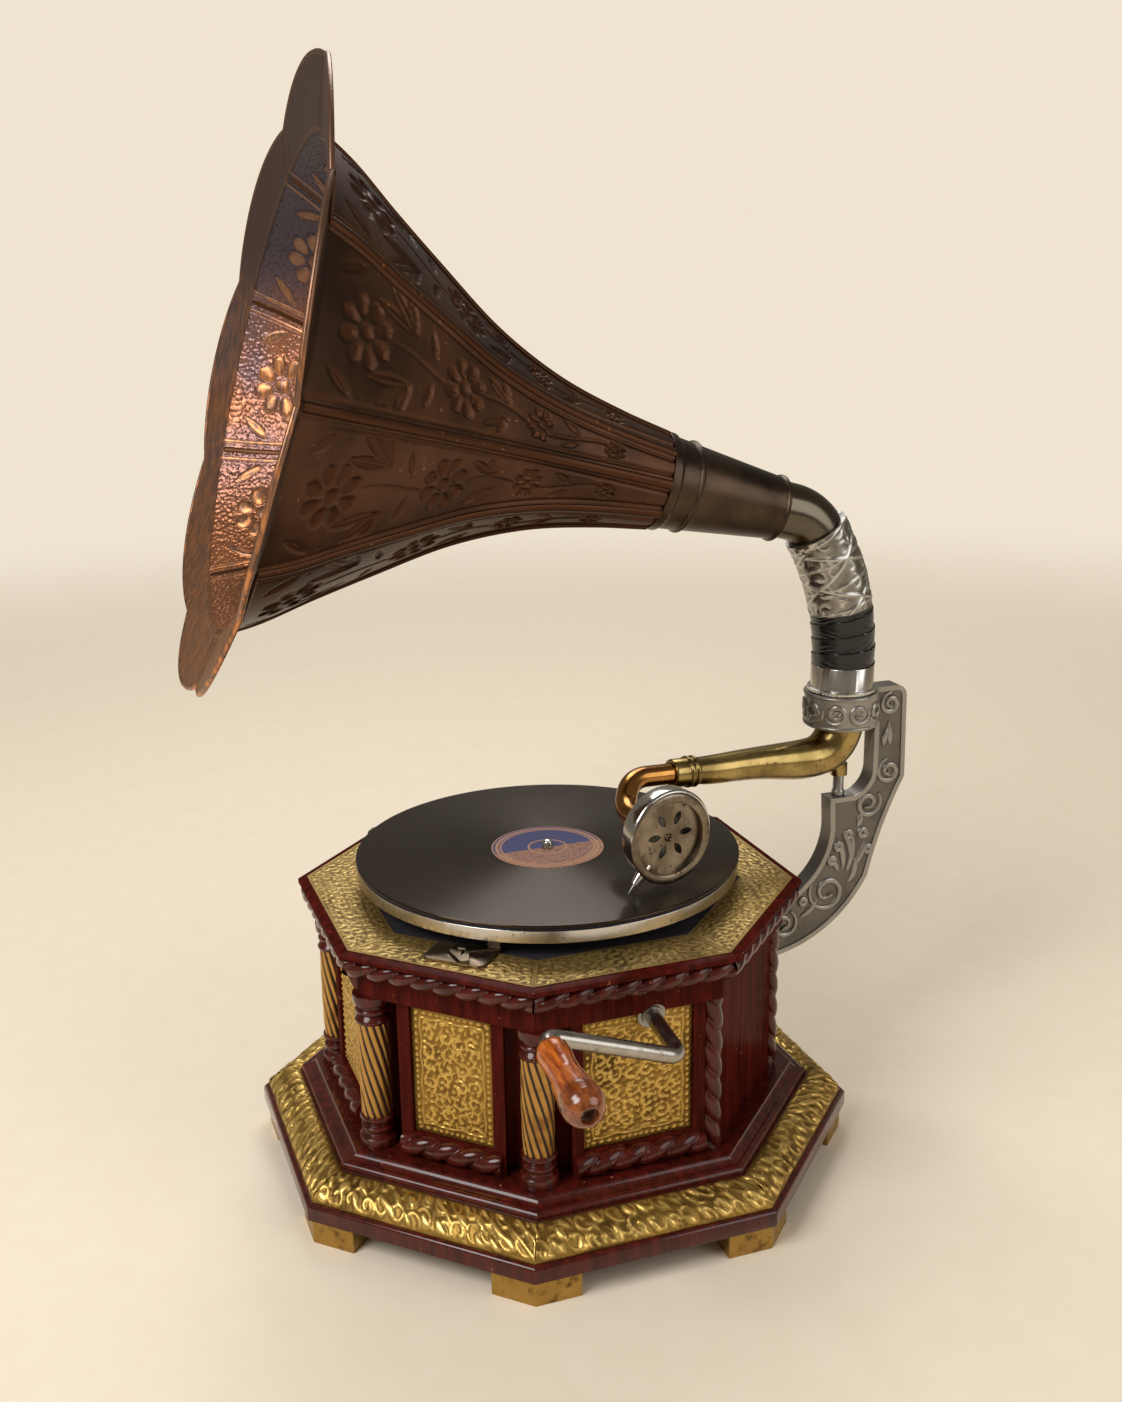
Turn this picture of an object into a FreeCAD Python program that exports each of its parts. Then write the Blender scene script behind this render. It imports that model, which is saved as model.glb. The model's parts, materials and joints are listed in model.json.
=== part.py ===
import FreeCAD, Part
import math
import os

V = FreeCAD.Vector
X, Y, Z = V(1, 0, 0), V(0, 1, 0), V(0, 0, 1)

# Where the spindle axis stands in the footprint: the middle of the whole object is the origin.
AXIS_X, AXIS_Y = -27.1, -22.8

# Clearances and stock
RUNNING_FIT = 0.05
THRUST_GAP = 0.3
SHEET = 0.8
TUBE_WALL = 1.2

# Cabinet, as distances of the flats from the spindle axis, and heights above the table
SIDES = 8
FOOT_HEIGHT = 17.0
FOOT_ARM = 29.0
FOOT_DEPTH = 24.0
FOOT_INSET = 3.0
PLINTH_FLAT = 187.5
PLINTH_THICK = 11.0
PLINTH_ROUND = 3.0
SKIRT_FOOT_FLAT = 184.0
SKIRT_HEAD_FLAT = 162.6
SKIRT_RISE = 12.0
SKIRT_CROWN = 4.0
OGEE_RISE = 9.0
LEDGE_FLAT = 152.0
WALL_FLAT = 140.0
WALL_THICK = 20.0
WALL_HEIGHT = 119.0
FRIEZE_HEIGHT = 15.0
FRIEZE_THICK = 5.0
ROPE_RADIUS = 6.5
CORNICE_SETBACK = 6.0
RIM_FLAT = 156.0
RIM_THICK = 4.0
DECK_OPENING_FLAT = 116.0
BOARD_THICK = 6.0
BOARD_LEDGE = 6.0
DECK_SHEET_FLAT = 150.5
DECK_SHEET_INNER_FLAT = 118.0

# Panels, columns and ropes on the walls
PANEL_SINK = 3.0
FRONT_PANEL_WIDTH = 56.0
SIDE_PANEL_WIDTH = 72.0
SIDE_PANEL_SHIFT = 7.3
PANEL_FOOT_GAP = 0.5
PANEL_HEAD_GAP = 3.0
RAIL_HALF_HEIGHT = 7.5
RAIL_STILE = 7.0
COLUMN_RING = 147.0
COLUMN_BASE_HEIGHT = 21.0
COLUMN_CAP_HEIGHT = 19.0
COLUMN_RADIUS = 12.0
SHAFT_RADIUS = 9.6
SHAFT_FLUTE = 1.5
SHAFT_LOBES = 8
SHAFT_TWIST = 100.0
SHAFT_STATIONS = 7
RECESS_HALF = 20.0
RECESS_RING = 132.0
CORNER_ROPE_RING = 148.5
COLUMN_CORNERS = (-22.5, -67.5, -112.5, -157.5)
ROPE_CORNERS = (22.5, 67.5, 112.5, 157.5)

# Platter and record
PLATTER_RADIUS = 126.0
PLATTER_RIM = 8.0
PLATTER_GAP = 9.2
PLATTER_DISC = 2.0
PLATTER_WALL = 2.5
BOSS_RADIUS = 11.0
FELT_THICK = 1.5
RECORD_RADIUS = 127.0
RECORD_THICK = 2.4
LABEL_RADIUS = 37.5
LABEL_THICK = 0.2
SPINDLE_RADIUS = 4.0
PIN_RADIUS = 3.6
PIN_STANDS = 5.4
RECORD_SEAT_RADIUS = 4.0
FLANGE_RADIUS = 8.0
FLANGE_THICK = 2.0

# Spring motor hung under the board
PLATE_THICK = 3.0
PLATE_GAP = 62.0
PILLAR_RADIUS = 4.0
PILLAR_LEFT, PILLAR_RIGHT = -64.0, 92.0
PILLAR_FRONT, PILLAR_BACK = -36.0, 52.0
MODULE = 1.0
ADDENDUM = 0.8
DEDENDUM = 1.1
BEVEL_ADDENDUM = 0.45
WHEEL_FACE = 4.0
BARREL_TEETH = 84
FIRST_PINION_TEETH = 10
SECOND_WHEEL_TEETH = 60
SPINDLE_PINION_TEETH = 12
WORM_WHEEL_TEETH = 40
WINDING_WHEEL_TEETH = 36
WINDING_PINION_TEETH = 12
BEVEL_FACE = 6.0
BARREL_X = 55.0
BARREL_LIFT = 8.0
BARREL_RADIUS = 39.0
BARREL_HEIGHT = 24.0
BARREL_WALL = 1.5
ARBOR_RADIUS = 4.0
SPRING_HUB_RADIUS = 8.5
SPRING_TURNS = 8
SPRING_STRIP = 0.6
PINION_ARBOR_RADIUS = 2.0
WORM_RADIUS = 4.0
WORM_LENGTH = 26.0
GOVERNOR_LENGTH = 84.0
GOVERNOR_SHAFT_RADIUS = 2.0
BALL_RADIUS = 5.0
BALL_ORBIT = 12.0
DISC_RADIUS = 15.0

# Winding crank
CRANK_Y = 15.0
CRANK_HEIGHT = 148.6
CRANK_DROOP = 8.0
CRANK_REST_ANGLE = 21.0
CRANK_OUT = 44.0
CRANK_ARM = 91.0
CRANK_BEND = 9.0
ROD_RADIUS = 4.9
SOCKET_DEPTH = 24.0
WINDING_SHAFT_RADIUS = 6.4
BUSH_RADIUS = 9.0
BUSH_LENGTH = 27.0
GRIP_START = 10.0
GRIP_LENGTH = 62.0
GRIP_RADIUS = 12.2

# Brake and speed knob on the deck
BRAKE_ANGLE = -43.0
BRAKE_RING = 129.0
BRAKE_PLATE_LENGTH = 40.0
BRAKE_PLATE_WIDTH = 24.0
BRAKE_PLATE_THICK = 1.4
BRAKE_PIVOT_RADIUS = 3.0
BRAKE_LEVER_THICK = 2.0
BRAKE_PAD_OFFSET = 17.0
BRAKE_PAD_GAP = 3.2
BRAKE_PAD = 6.0
KNOB_ANGLE = 221.0
KNOB_RING = 138.0
KNOB_RADIUS = 7.5
KNOB_HEIGHT = 10.0
KNOB_STEM_RADIUS = 3.0
KNOB_STEM = 12.0

# Bracket, with its outline as places behind the spindle axis and heights
PIVOT_Y = 219.0
RING_FOOT = 268.0
RING_HEIGHT = 24.0
RING_RADIUS = 25.5
RING_BORE = 21.8
BRACKET_THICK = 14.0
BRACKET_BORDER = 3.5
BRACKET_SINK = 1.2
PAD_THICK = 6.0
PAD_HALF_WIDTH = 20.0
PAD_FOOT, PAD_HEAD = 97.0, 149.0
PIN_RISE = 15.4
BOSS_DROP = 2.6
PIVOT_PIN_RADIUS = 3.0
PIVOT_PIN_COLLAR = 4.6
PIVOT_PIN_SEAT = 8.0
SCREW_RADIUS = 2.2
SCREW_HEAD_RADIUS = 4.6
SCREW_GRIP = 13.0

# Tone arm and soundbox
ARM_TURN = 7.7
ARM_RISE = 3.8
ARM_BEND = 24.0
ARM_SEAT = 2.0
ARM_HEAD_RADIUS = 16.5
ARM_BEND_RADIUS = 14.0
ARM_TIP_RADIUS = 9.0
ARM_RUN = 94.0
ARM_FLANGE = 10.0
COLLAR_LENGTH = 20.0
COLLAR_RADIUS = 9.6
NECK_RADIUS = 7.0
NECK_SEAT = 15.0
NECK_RUN = 31.0
NECK_BEND = 21.0
NECK_END_RUN = 38.0
SOUNDBOX_X, SOUNDBOX_Y = 89.2, 47.4
SOUNDBOX_TURN = 11.3
SOUNDBOX_RADIUS = 29.5
SOUNDBOX_DEPTH = 16.0
SOUNDBOX_BEZEL = 3.0
GRILLE_SINK = 2.5
GRILLE_THICK = 1.2
GRILLE_SLOTS = 6
DIAPHRAGM_THICK = 0.4
NEEDLE_LEAN = 40.8
NEEDLE_LIFT = 0.4
NEEDLE_LENGTH = 16.0
NEEDLE_SEAT = 6.0
CHUCK_INSET = 3.8
CHUCK_RADIUS = 3.3
CHUCK_REACH = 37.5
NEEDLE_RADIUS = 0.8

# Horn, with sizes at distances behind its mouth
HORN_TILT = 15.4
HORN_TURN = -2.8
PETALS = 9
FIRST_SEAM = 49.1
PETAL_WALL = 1.2
PETAL_FOOT = 262.0
COLLAR_END = 352.0
COLLAR_END_RADIUS = 20.6
PETAL_FOOT_RADIUS = 31.0
COLLAR_BEAD_AT = 283.0
BEAD_RADIUS = 1.8
LIP_SEAM_RADIUS = 178.0
LIP_TIP_RADIUS = 187.0
# Distance behind the mouth, radius at the seams and radius at the middle of a petal
PETAL_STATIONS = (
    (228.0, 36.6, 36.0),
    (178.0, 49.0, 47.0),
    (135.0, 67.5, 64.5),
    (92.0, 94.0, 90.5),
    (58.0, 116.0, 114.0),
    (27.0, 137.0, 135.5),
    (8.0, 147.0, 146.5),
    (0.0, 151.0, 151.0),
)
ELBOW_RADIUS = 19.0
SLEEVE_STANDS = 19.0
ELBOW_STRAIGHT = 7.1
ELBOW_RUN = 9.8
SHOULDER_RADIUS = 24.0
SHOULDER_HEIGHT = 2.7
ELBOW_FIRST_BEND = 170.0
ELBOW_FIRST_TURN = 30.0
ELBOW_SECOND_BEND = 34.0
ELBOW_SEAT = 12.0
TAPE_THICK = 2.7
TAPE_TURN = 11.0
FOIL_THICK = 3.3
FOIL_TURN = 27.0

# Heights and places that follow from the sizes above
HALF_SIDE = math.radians(180.0 / SIDES)
TAN_HALF, COS_HALF = math.tan(HALF_SIDE), math.cos(HALF_SIDE)
PLINTH_TOP = FOOT_HEIGHT + PLINTH_THICK
LEDGE_TOP = PLINTH_TOP + SKIRT_RISE + OGEE_RISE
WALL_TOP = LEDGE_TOP + WALL_HEIGHT
FRIEZE_FOOT = WALL_TOP - FRIEZE_HEIGHT
CORNICE_TOP = WALL_TOP + 2 * ROPE_RADIUS
CORNICE_FLAT = WALL_FLAT + 3.0
DECK_TOP = CORNICE_TOP + RIM_THICK
SHEET_TOP = DECK_TOP + SHEET
BOARD_FLAT = DECK_OPENING_FLAT + BOARD_LEDGE
ARM_HEIGHT = RING_FOOT + ARM_SEAT - ARM_BEND
SHELF_HEIGHT = ARM_HEIGHT - ARM_BEND_RADIUS - BOSS_DROP - PIN_RISE
SHELF_DROP = SHELF_HEIGHT - PAD_HEAD
SLEEVE_HEAD = RING_FOOT + RING_HEIGHT + SLEEVE_STANDS
BEND_FOOT = SLEEVE_HEAD + ELBOW_STRAIGHT
CHUCK_FOOT = SOUNDBOX_RADIUS - SOUNDBOX_BEZEL - CHUCK_INSET
NEEDLE_REACH = CHUCK_FOOT + NEEDLE_SEAT + NEEDLE_LENGTH
BOARD_FOOT = DECK_TOP - BOARD_THICK
RIM_FOOT = SHEET_TOP + PLATTER_GAP
PLATTER_TOP = RIM_FOOT + PLATTER_RIM
RECORD_FOOT = PLATTER_TOP + FELT_THICK
RECORD_TOP = RECORD_FOOT + RECORD_THICK
TOP_PLATE_FOOT = BOARD_FOOT - PLATE_THICK
BOTTOM_PLATE_TOP = TOP_PLATE_FOOT - PLATE_GAP
COLUMN_HEIGHT = FRIEZE_FOOT - LEDGE_TOP
PANEL_FOOT = LEDGE_TOP + 2 * RAIL_HALF_HEIGHT + PANEL_FOOT_GAP
PANEL_HEAD = FRIEZE_FOOT - PANEL_HEAD_GAP
RECESS_ALONG = RECESS_HALF / COS_HALF
FACE_HALF = WALL_FLAT * TAN_HALF


def polar(radius, degrees, height=0.0):
    angle = math.radians(degrees)
    return V(radius * math.cos(angle), radius * math.sin(angle), height)


def turned(shape, degrees, centre=V(0, 0, 0), axis=Z):
    copy = shape.copy()
    copy.rotate(centre, axis, degrees)
    return copy


def moved(shape, offset):
    copy = shape.copy()
    copy.translate(offset)
    return copy


def face_of(points):
    return Part.Face(Part.makePolygon(list(points) + [points[0]]))


def arc(first, middle, last):
    return Part.Arc(first, middle, last).toShape()


def line(first, last):
    return Part.LineSegment(first, last).toShape()


def box(low, high):
    size = high - low
    return Part.makeBox(size.x, size.y, size.z, low)


def rod(start, end, radius):
    return Part.makeCylinder(radius, (end - start).Length, start, end - start)


def revolved(profile, origin=V(0, 0, 0), axis=Z):
    """Turns a closed outline of (radius, height) pairs about an axis."""
    face = face_of([V(radius, 0, height) for radius, height in profile])
    solid = face.revolve(V(0, 0, 0), Z, 360)
    solid.Placement = FreeCAD.Placement(origin, FreeCAD.Rotation(Z, axis))
    return solid


def octagon(flat, foot, head):
    corners = [polar(flat / COS_HALF, 22.5 + 45 * k, foot) for k in range(SIDES)]
    return face_of(corners).extrude(Z * (head - foot))


def mitred_strips(profile):
    """Eight mitred lengths of one moulding; its profile is a face in the XZ plane."""
    bounds = profile.BoundBox
    reach = bounds.XMax + 1.0
    half = reach * TAN_HALF
    bar = moved(profile.extrude(Y * 2 * half), -Y * half)
    wedge = face_of([V(0, 0, bounds.ZMin - 1), V(reach, -half, bounds.ZMin - 1),
                     V(reach, half, bounds.ZMin - 1)])
    strip = bar.common(wedge.extrude(Z * (bounds.ZLength + 2)))
    return [turned(strip, 45 * k) for k in range(SIDES)]


def flat_profile(points):
    return face_of([V(flat, 0, height) for flat, height in points])


def rounded_path(points, radius):
    """Straight runs joined by tangent arcs of one radius."""
    edges = []
    start = points[0]
    for before, corner, after in zip(points, points[1:], points[2:]):
        back, on = (before - corner).normalize(), (after - corner).normalize()
        half = back.getAngle(on) / 2
        trim = radius / math.tan(half)
        inward = (back + on).normalize()
        middle = corner + inward * (radius / math.sin(half) - radius)
        edges += [line(start, corner + back * trim), arc(corner + back * trim, middle, corner + on * trim)]
        start = corner + on * trim
    return Part.Wire(edges + [line(start, points[-1])])


def disc_face(centre, normal, radius, bore=0.0):
    outer = Part.Wire(Part.Circle(centre, normal, radius).toShape())
    if not bore:
        return Part.Face(outer)
    return Part.Face([outer, Part.Wire(Part.Circle(centre, normal, bore).toShape())])


def piped(path, radius, bore=0.0):
    edge = path.OrderedEdges[0]
    start = edge.valueAt(edge.FirstParameter)
    tangent = edge.tangentAt(edge.FirstParameter)
    outer = path.makePipeShell([Part.Wire(Part.Circle(start, tangent, radius).toShape())], True, False)
    if not bore:
        return outer
    return outer.cut(path.makePipeShell([Part.Wire(Part.Circle(start, tangent, bore).toShape())], True,
                                        False))


def gear_points(teeth, phase, addendum, scale=1.0):
    """Outline of straight-flanked teeth, thinned for free running."""
    pitch = teeth * MODULE / 2
    step = 2 * math.pi / teeth
    points = []
    for k in range(teeth):
        centre = phase + k * step
        for radius, share in ((pitch - DEDENDUM * MODULE, -0.30), (pitch + addendum * MODULE, -0.11),
                              (pitch + addendum * MODULE, 0.11), (pitch - DEDENDUM * MODULE, 0.30)):
            angle = centre + share * step
            points.append(V(radius * scale * math.cos(angle), radius * scale * math.sin(angle), 0))
    return points


def spur_gear(teeth, phase, centre, face_width):
    return moved(face_of(gear_points(teeth, phase, ADDENDUM)).extrude(Z * face_width), centre)


def bevel_gear(teeth, phase, apex_distance, face_width, backing):
    """Teeth that taper to an apex at the origin, on the +Z axis, with a backing disc behind the large end."""
    cone = math.hypot(apex_distance, teeth * MODULE / 2)
    small = 1 - face_width / cone
    wires = []
    for scale in (1.0, small):
        points = [p + Z * apex_distance * scale for p in gear_points(teeth, phase, BEVEL_ADDENDUM, scale)]
        wires.append(Part.makePolygon(points + [points[0]]))
    disc = Part.makeCylinder(teeth * MODULE / 2 - DEDENDUM * MODULE, backing, Z * apex_distance)
    return Part.makeLoft(wires, True, True).fuse(disc)


def save(name, shapes):
    shapes = shapes if isinstance(shapes, list) else [shapes]
    placed = [moved(shape, V(AXIS_X, AXIS_Y, 0)) for shape in shapes]
    solids = [solid for shape in placed for solid in shape.Solids]
    result = solids[0] if len(solids) == 1 else Part.makeCompound(solids)
    result.exportStep("parts/" + name + ".step")


def make_feet():
    """Eight corner blocks, each following the corner of the plinth above it."""
    flat = PLINTH_FLAT - FOOT_INSET
    corner = polar(flat / COS_HALF, 22.5)
    inner = polar((flat - FOOT_DEPTH) / COS_HALF, 22.5)
    along = [polar(1, 90), polar(1, -45)]
    inward = [polar(1, 180), polar(1, 225)]
    ends = [corner - along[0] * FOOT_ARM, corner - along[1] * FOOT_ARM]
    foot = face_of([corner, ends[0], ends[0] + inward[0] * FOOT_DEPTH, inner,
                    ends[1] + inward[1] * FOOT_DEPTH, ends[1]]).extrude(Z * FOOT_HEIGHT)
    save("feet", [turned(foot, 45 * k) for k in range(SIDES)])


def skirt_arc(offset):
    """End points, middle and end normals of the convex skirt, stood off from its wooden core."""
    foot, head = V(SKIRT_FOOT_FLAT, 0, PLINTH_TOP), V(SKIRT_HEAD_FLAT, 0, PLINTH_TOP + SKIRT_RISE)
    chord = head - foot
    outward = V(chord.z, 0, -chord.x).normalize()
    radius = chord.Length ** 2 / (8 * SKIRT_CROWN) + SKIRT_CROWN / 2
    centre = (foot + head) * 0.5 - outward * (radius - SKIRT_CROWN)
    spokes = [(point - centre).normalize() for point in (foot, head)]
    return [centre + spokes[0] * (radius + offset), centre + outward * (radius + offset),
            centre + spokes[1] * (radius + offset)]


def make_plinth():
    board = octagon(PLINTH_FLAT, FOOT_HEIGHT, PLINTH_TOP)
    level = [edge for edge in board.Edges if abs(edge.BoundBox.ZLength) < 0.01]
    rims = [edge for edge in level if edge.BoundBox.ZMin > FOOT_HEIGHT]
    save("plinth_board", board.makeFillet(PLINTH_ROUND, rims))
    foot, crown, head = skirt_arc(0.0)
    step = head.z + OGEE_RISE * 0.2
    cove_foot = V((SKIRT_HEAD_FLAT + LEDGE_FLAT) / 2, 0, step + OGEE_RISE * 0.35)
    cove_head = V(LEDGE_FLAT, 0, LEDGE_TOP)
    shoulder = V(head.x - SHEET, 0, head.z)
    nose = V(shoulder.x, 0, step)
    back = WALL_FLAT - WALL_THICK
    edges = [arc(foot, crown, head), line(head, shoulder), line(shoulder, nose),
             arc(nose, (nose + cove_foot) * 0.5 + V(1, 0, 0.7), cove_foot),
             arc(cove_foot, (cove_foot + cove_head) * 0.5 + V(-0.8, 0, -0.6), cove_head),
             line(cove_head, V(back, 0, LEDGE_TOP)), line(V(back, 0, LEDGE_TOP), V(back, 0, PLINTH_TOP)),
             line(V(back, 0, PLINTH_TOP), foot)]
    save("plinth_moulding", mitred_strips(Part.Face(Part.Wire(edges))))
    outer = skirt_arc(SHEET)
    sheet = [arc(*outer), line(outer[2], head), arc(head, crown, foot), line(foot, outer[0])]
    save("skirt_sheets", mitred_strips(Part.Face(Part.Wire(sheet))))


def crank_axis():
    droop = math.radians(CRANK_DROOP)
    return V(WALL_FLAT, CRANK_Y, CRANK_HEIGHT), V(math.cos(droop), 0, -math.sin(droop))


def bush_hole():
    mouth, outward = crank_axis()
    return rod(mouth - outward * 2 * WALL_THICK, mouth + outward * 2 * WALL_THICK, BUSH_RADIUS)


def panel_places():
    """Angle of the face, width of its panel and shift of the panel along the face."""
    front = [(angle, FRONT_PANEL_WIDTH, 0.0) for angle in (-45, -90, -135)]
    return front + [(0, SIDE_PANEL_WIDTH, SIDE_PANEL_SHIFT), (180, SIDE_PANEL_WIDTH, -SIDE_PANEL_SHIFT)]


def make_walls():
    back = WALL_FLAT - WALL_THICK
    strips = mitred_strips(flat_profile([(back, LEDGE_TOP), (WALL_FLAT, LEDGE_TOP), (WALL_FLAT, WALL_TOP),
                                         (back, WALL_TOP)]))
    recess = box(V(RECESS_RING, -RECESS_HALF, LEDGE_TOP),
                 V(WALL_FLAT / COS_HALF + 5, RECESS_HALF, FRIEZE_FOOT))
    cuts = [turned(recess, angle) for angle in COLUMN_CORNERS]
    rope = Part.makeCylinder(ROPE_RADIUS, COLUMN_HEIGHT, V(CORNER_ROPE_RING, 0, LEDGE_TOP))
    ropes = [turned(rope, angle) for angle in ROPE_CORNERS]
    panels, rails = [], []
    for angle, width, shift in panel_places():
        low = V(WALL_FLAT - PANEL_SINK, shift - width / 2, PANEL_FOOT)
        cuts.append(turned(box(low, V(WALL_FLAT + 1, shift + width / 2, PANEL_HEAD)), angle))
        panel = box(low, V(low.x + SHEET, shift + width / 2, PANEL_HEAD))
        panels.append(turned(panel, angle).cut(bush_hole()))
        half = width / 2 + RAIL_STILE
        foot, head = V(WALL_FLAT, 0, LEDGE_TOP), V(WALL_FLAT, 0, LEDGE_TOP + 2 * RAIL_HALF_HEIGHT)
        bulge = (foot + head) * 0.5 + X * RAIL_HALF_HEIGHT
        rail = Part.Face(Part.Wire([arc(foot, bulge, head), line(head, foot)])).extrude(Y * 2 * half)
        rails.append(turned(moved(rail, Y * (shift - half)), angle))
    holes = [rod(spot + Y * PAD_THICK, spot - Y * SCREW_GRIP, SCREW_RADIUS) for spot in screw_spots()]
    cutter = Part.makeCompound(cuts + ropes + holes + [bush_hole()])
    save("wall_boards", [strip.cut(cutter) for strip in strips])
    save("brass_panels", panels)
    save("panel_rails", rails)
    save("corner_ropes", ropes)
    frieze = mitred_strips(flat_profile([(WALL_FLAT, FRIEZE_FOOT), (WALL_FLAT + FRIEZE_THICK, FRIEZE_FOOT),
                                         (WALL_FLAT + FRIEZE_THICK, WALL_TOP), (WALL_FLAT, WALL_TOP)]))
    save("frieze", [strip.cut(bush_hole()) for strip in frieze])


def make_columns():
    base = COLUMN_BASE_HEIGHT
    r = COLUMN_RADIUS
    foot = [(0, 0), (r, 0), (r, base * 0.14), (r * 0.98, base * 0.3), (r * 0.72, base * 0.4),
            (r * 0.72, base * 0.48),
            (r * 0.88, base * 0.55), (r * 0.88, base * 0.64), (r * 0.7, base * 0.7), (r * 0.82, base * 0.8),
            (r * 0.94, base * 0.9), (r * 0.9, base), (0, base)]
    scale = COLUMN_CAP_HEIGHT / base
    cap = [(radius, COLUMN_HEIGHT - height * scale) for radius, height in foot]
    ends, shafts = [], []
    wires = []
    shaft = COLUMN_HEIGHT - COLUMN_BASE_HEIGHT - COLUMN_CAP_HEIGHT
    for k in range(SHAFT_STATIONS):
        share = k / (SHAFT_STATIONS - 1)
        points = []
        for j in range(2 * SHAFT_LOBES):
            radius = SHAFT_RADIUS - (SHAFT_FLUTE if j % 2 else 0.0)
            points.append(polar(radius, j * 180 / SHAFT_LOBES + share * SHAFT_TWIST, base + share * shaft))
        wires.append(Part.makePolygon(points + [points[0]]))
    twisted = Part.makeLoft(wires, True, True)
    for angle in COLUMN_CORNERS:
        place = polar(COLUMN_RING, angle, LEDGE_TOP)
        ends += [revolved(foot, place), revolved(cap, place)]
        shafts.append(moved(twisted, place))
    save("column_ends", ends)
    save("column_shafts", shafts)


def make_deck():
    top = [(DECK_OPENING_FLAT, WALL_TOP), (CORNICE_FLAT, WALL_TOP), (CORNICE_FLAT, CORNICE_TOP),
           (RIM_FLAT, CORNICE_TOP),
           (RIM_FLAT, DECK_TOP - RIM_THICK / 3), (DECK_SHEET_FLAT, DECK_TOP), (BOARD_FLAT, DECK_TOP),
           (BOARD_FLAT, BOARD_FOOT), (DECK_OPENING_FLAT, BOARD_FOOT)]
    stem = rod(polar(KNOB_RING, KNOB_ANGLE, SHEET_TOP - KNOB_STEM),
               polar(KNOB_RING, KNOB_ANGLE, SHEET_TOP + 1),
               KNOB_STEM_RADIUS + RUNNING_FIT)
    save("deck_frame", [strip.cut(stem) for strip in mitred_strips(flat_profile(top))])
    sheet = flat_profile([(DECK_SHEET_INNER_FLAT, DECK_TOP), (DECK_SHEET_FLAT, DECK_TOP),
                          (DECK_SHEET_FLAT, SHEET_TOP),
                          (DECK_SHEET_INNER_FLAT, SHEET_TOP)])
    save("deck_sheets", [strip.cut(stem) for strip in mitred_strips(sheet)])
    back, front = CORNICE_FLAT, CORNICE_FLAT + CORNICE_SETBACK
    low, high = V(back, 0, WALL_TOP), V(back, 0, CORNICE_TOP)
    edges = [line(low, V(front, 0, WALL_TOP)),
             arc(V(front, 0, WALL_TOP), V(front + ROPE_RADIUS, 0, WALL_TOP + ROPE_RADIUS),
                 V(front, 0, CORNICE_TOP)),
             line(V(front, 0, CORNICE_TOP), high), line(high, low)]
    save("cornice_rope", mitred_strips(Part.Face(Part.Wire(edges))))
    hole = rod(V(0, 0, BOARD_FOOT), V(0, 0, DECK_TOP), SPINDLE_RADIUS + 2)
    save("motor_board", octagon(BOARD_FLAT, BOARD_FOOT, DECK_TOP).cut(hole))


def make_turntable():
    rim, wall = PLATTER_RADIUS, PLATTER_WALL
    flange_foot = DECK_TOP + 1.5
    boss_foot = flange_foot + FLANGE_THICK
    disc_foot = PLATTER_TOP - PLATTER_DISC
    save("platter", revolved([
        (SPINDLE_RADIUS, boss_foot), (BOSS_RADIUS, boss_foot), (BOSS_RADIUS + 3, disc_foot),
        (rim - wall, disc_foot),
        (rim - wall, RIM_FOOT), (rim, RIM_FOOT), (rim, PLATTER_TOP), (SPINDLE_RADIUS, PLATTER_TOP)]))
    save("felt_mat", revolved([(SPINDLE_RADIUS, PLATTER_TOP), (rim - 1, PLATTER_TOP), (rim - 1, RECORD_FOOT),
                               (SPINDLE_RADIUS, RECORD_FOOT)]))
    edge = RECORD_THICK / 4
    save("record", revolved([
        (RECORD_SEAT_RADIUS, RECORD_FOOT), (RECORD_RADIUS - edge, RECORD_FOOT),
        (RECORD_RADIUS, RECORD_FOOT + edge),
        (RECORD_RADIUS, RECORD_TOP - edge), (RECORD_RADIUS - edge, RECORD_TOP),
        (RECORD_SEAT_RADIUS, RECORD_TOP)]))
    label_top = RECORD_TOP + LABEL_THICK
    save("record_label", revolved([(RECORD_SEAT_RADIUS, RECORD_TOP), (LABEL_RADIUS, RECORD_TOP),
                                   (LABEL_RADIUS, label_top), (RECORD_SEAT_RADIUS, label_top)]))
    pin_top = RECORD_TOP + PIN_STANDS
    foot = BOTTOM_PLATE_TOP - PLATE_THICK / 2
    shaft = revolved([
        (0, foot), (SPINDLE_RADIUS, foot), (SPINDLE_RADIUS, flange_foot), (FLANGE_RADIUS, flange_foot),
        (FLANGE_RADIUS, boss_foot), (SPINDLE_RADIUS, boss_foot), (SPINDLE_RADIUS, RECORD_FOOT),
        (RECORD_SEAT_RADIUS, RECORD_FOOT), (RECORD_SEAT_RADIUS, label_top), (PIN_RADIUS, label_top),
        (PIN_RADIUS, pin_top - PIN_RADIUS / 2), (PIN_RADIUS * 0.8, pin_top - PIN_RADIUS / 6),
        (PIN_RADIUS * 0.4, pin_top), (0, pin_top)])
    toward, first_place = intermediate_place()
    phase = math.atan2(first_place.y, first_place.x)
    pinion = spur_gear(SPINDLE_PINION_TEETH, phase, Z * (BOTTOM_PLATE_TOP + 2.0), WHEEL_FACE + 2)
    save("spindle", shaft.fuse(pinion).removeSplitter())
    wheel = spur_gear(WORM_WHEEL_TEETH, 0.0, Z * (worm_height() - WHEEL_FACE / 2), WHEEL_FACE)
    hub = Part.makeCylinder(SPINDLE_RADIUS + 4, WHEEL_FACE * 2, Z * (worm_height() - WHEEL_FACE))
    bore = Part.makeCylinder(SPINDLE_RADIUS, PLATE_GAP, Z * BOTTOM_PLATE_TOP)
    save("worm_wheel", wheel.fuse(hub).cut(bore))


def worm_height():
    return TOP_PLATE_FOOT - 20.0


def barrel_place():
    return V(BARREL_X, CRANK_Y, 0)


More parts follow.
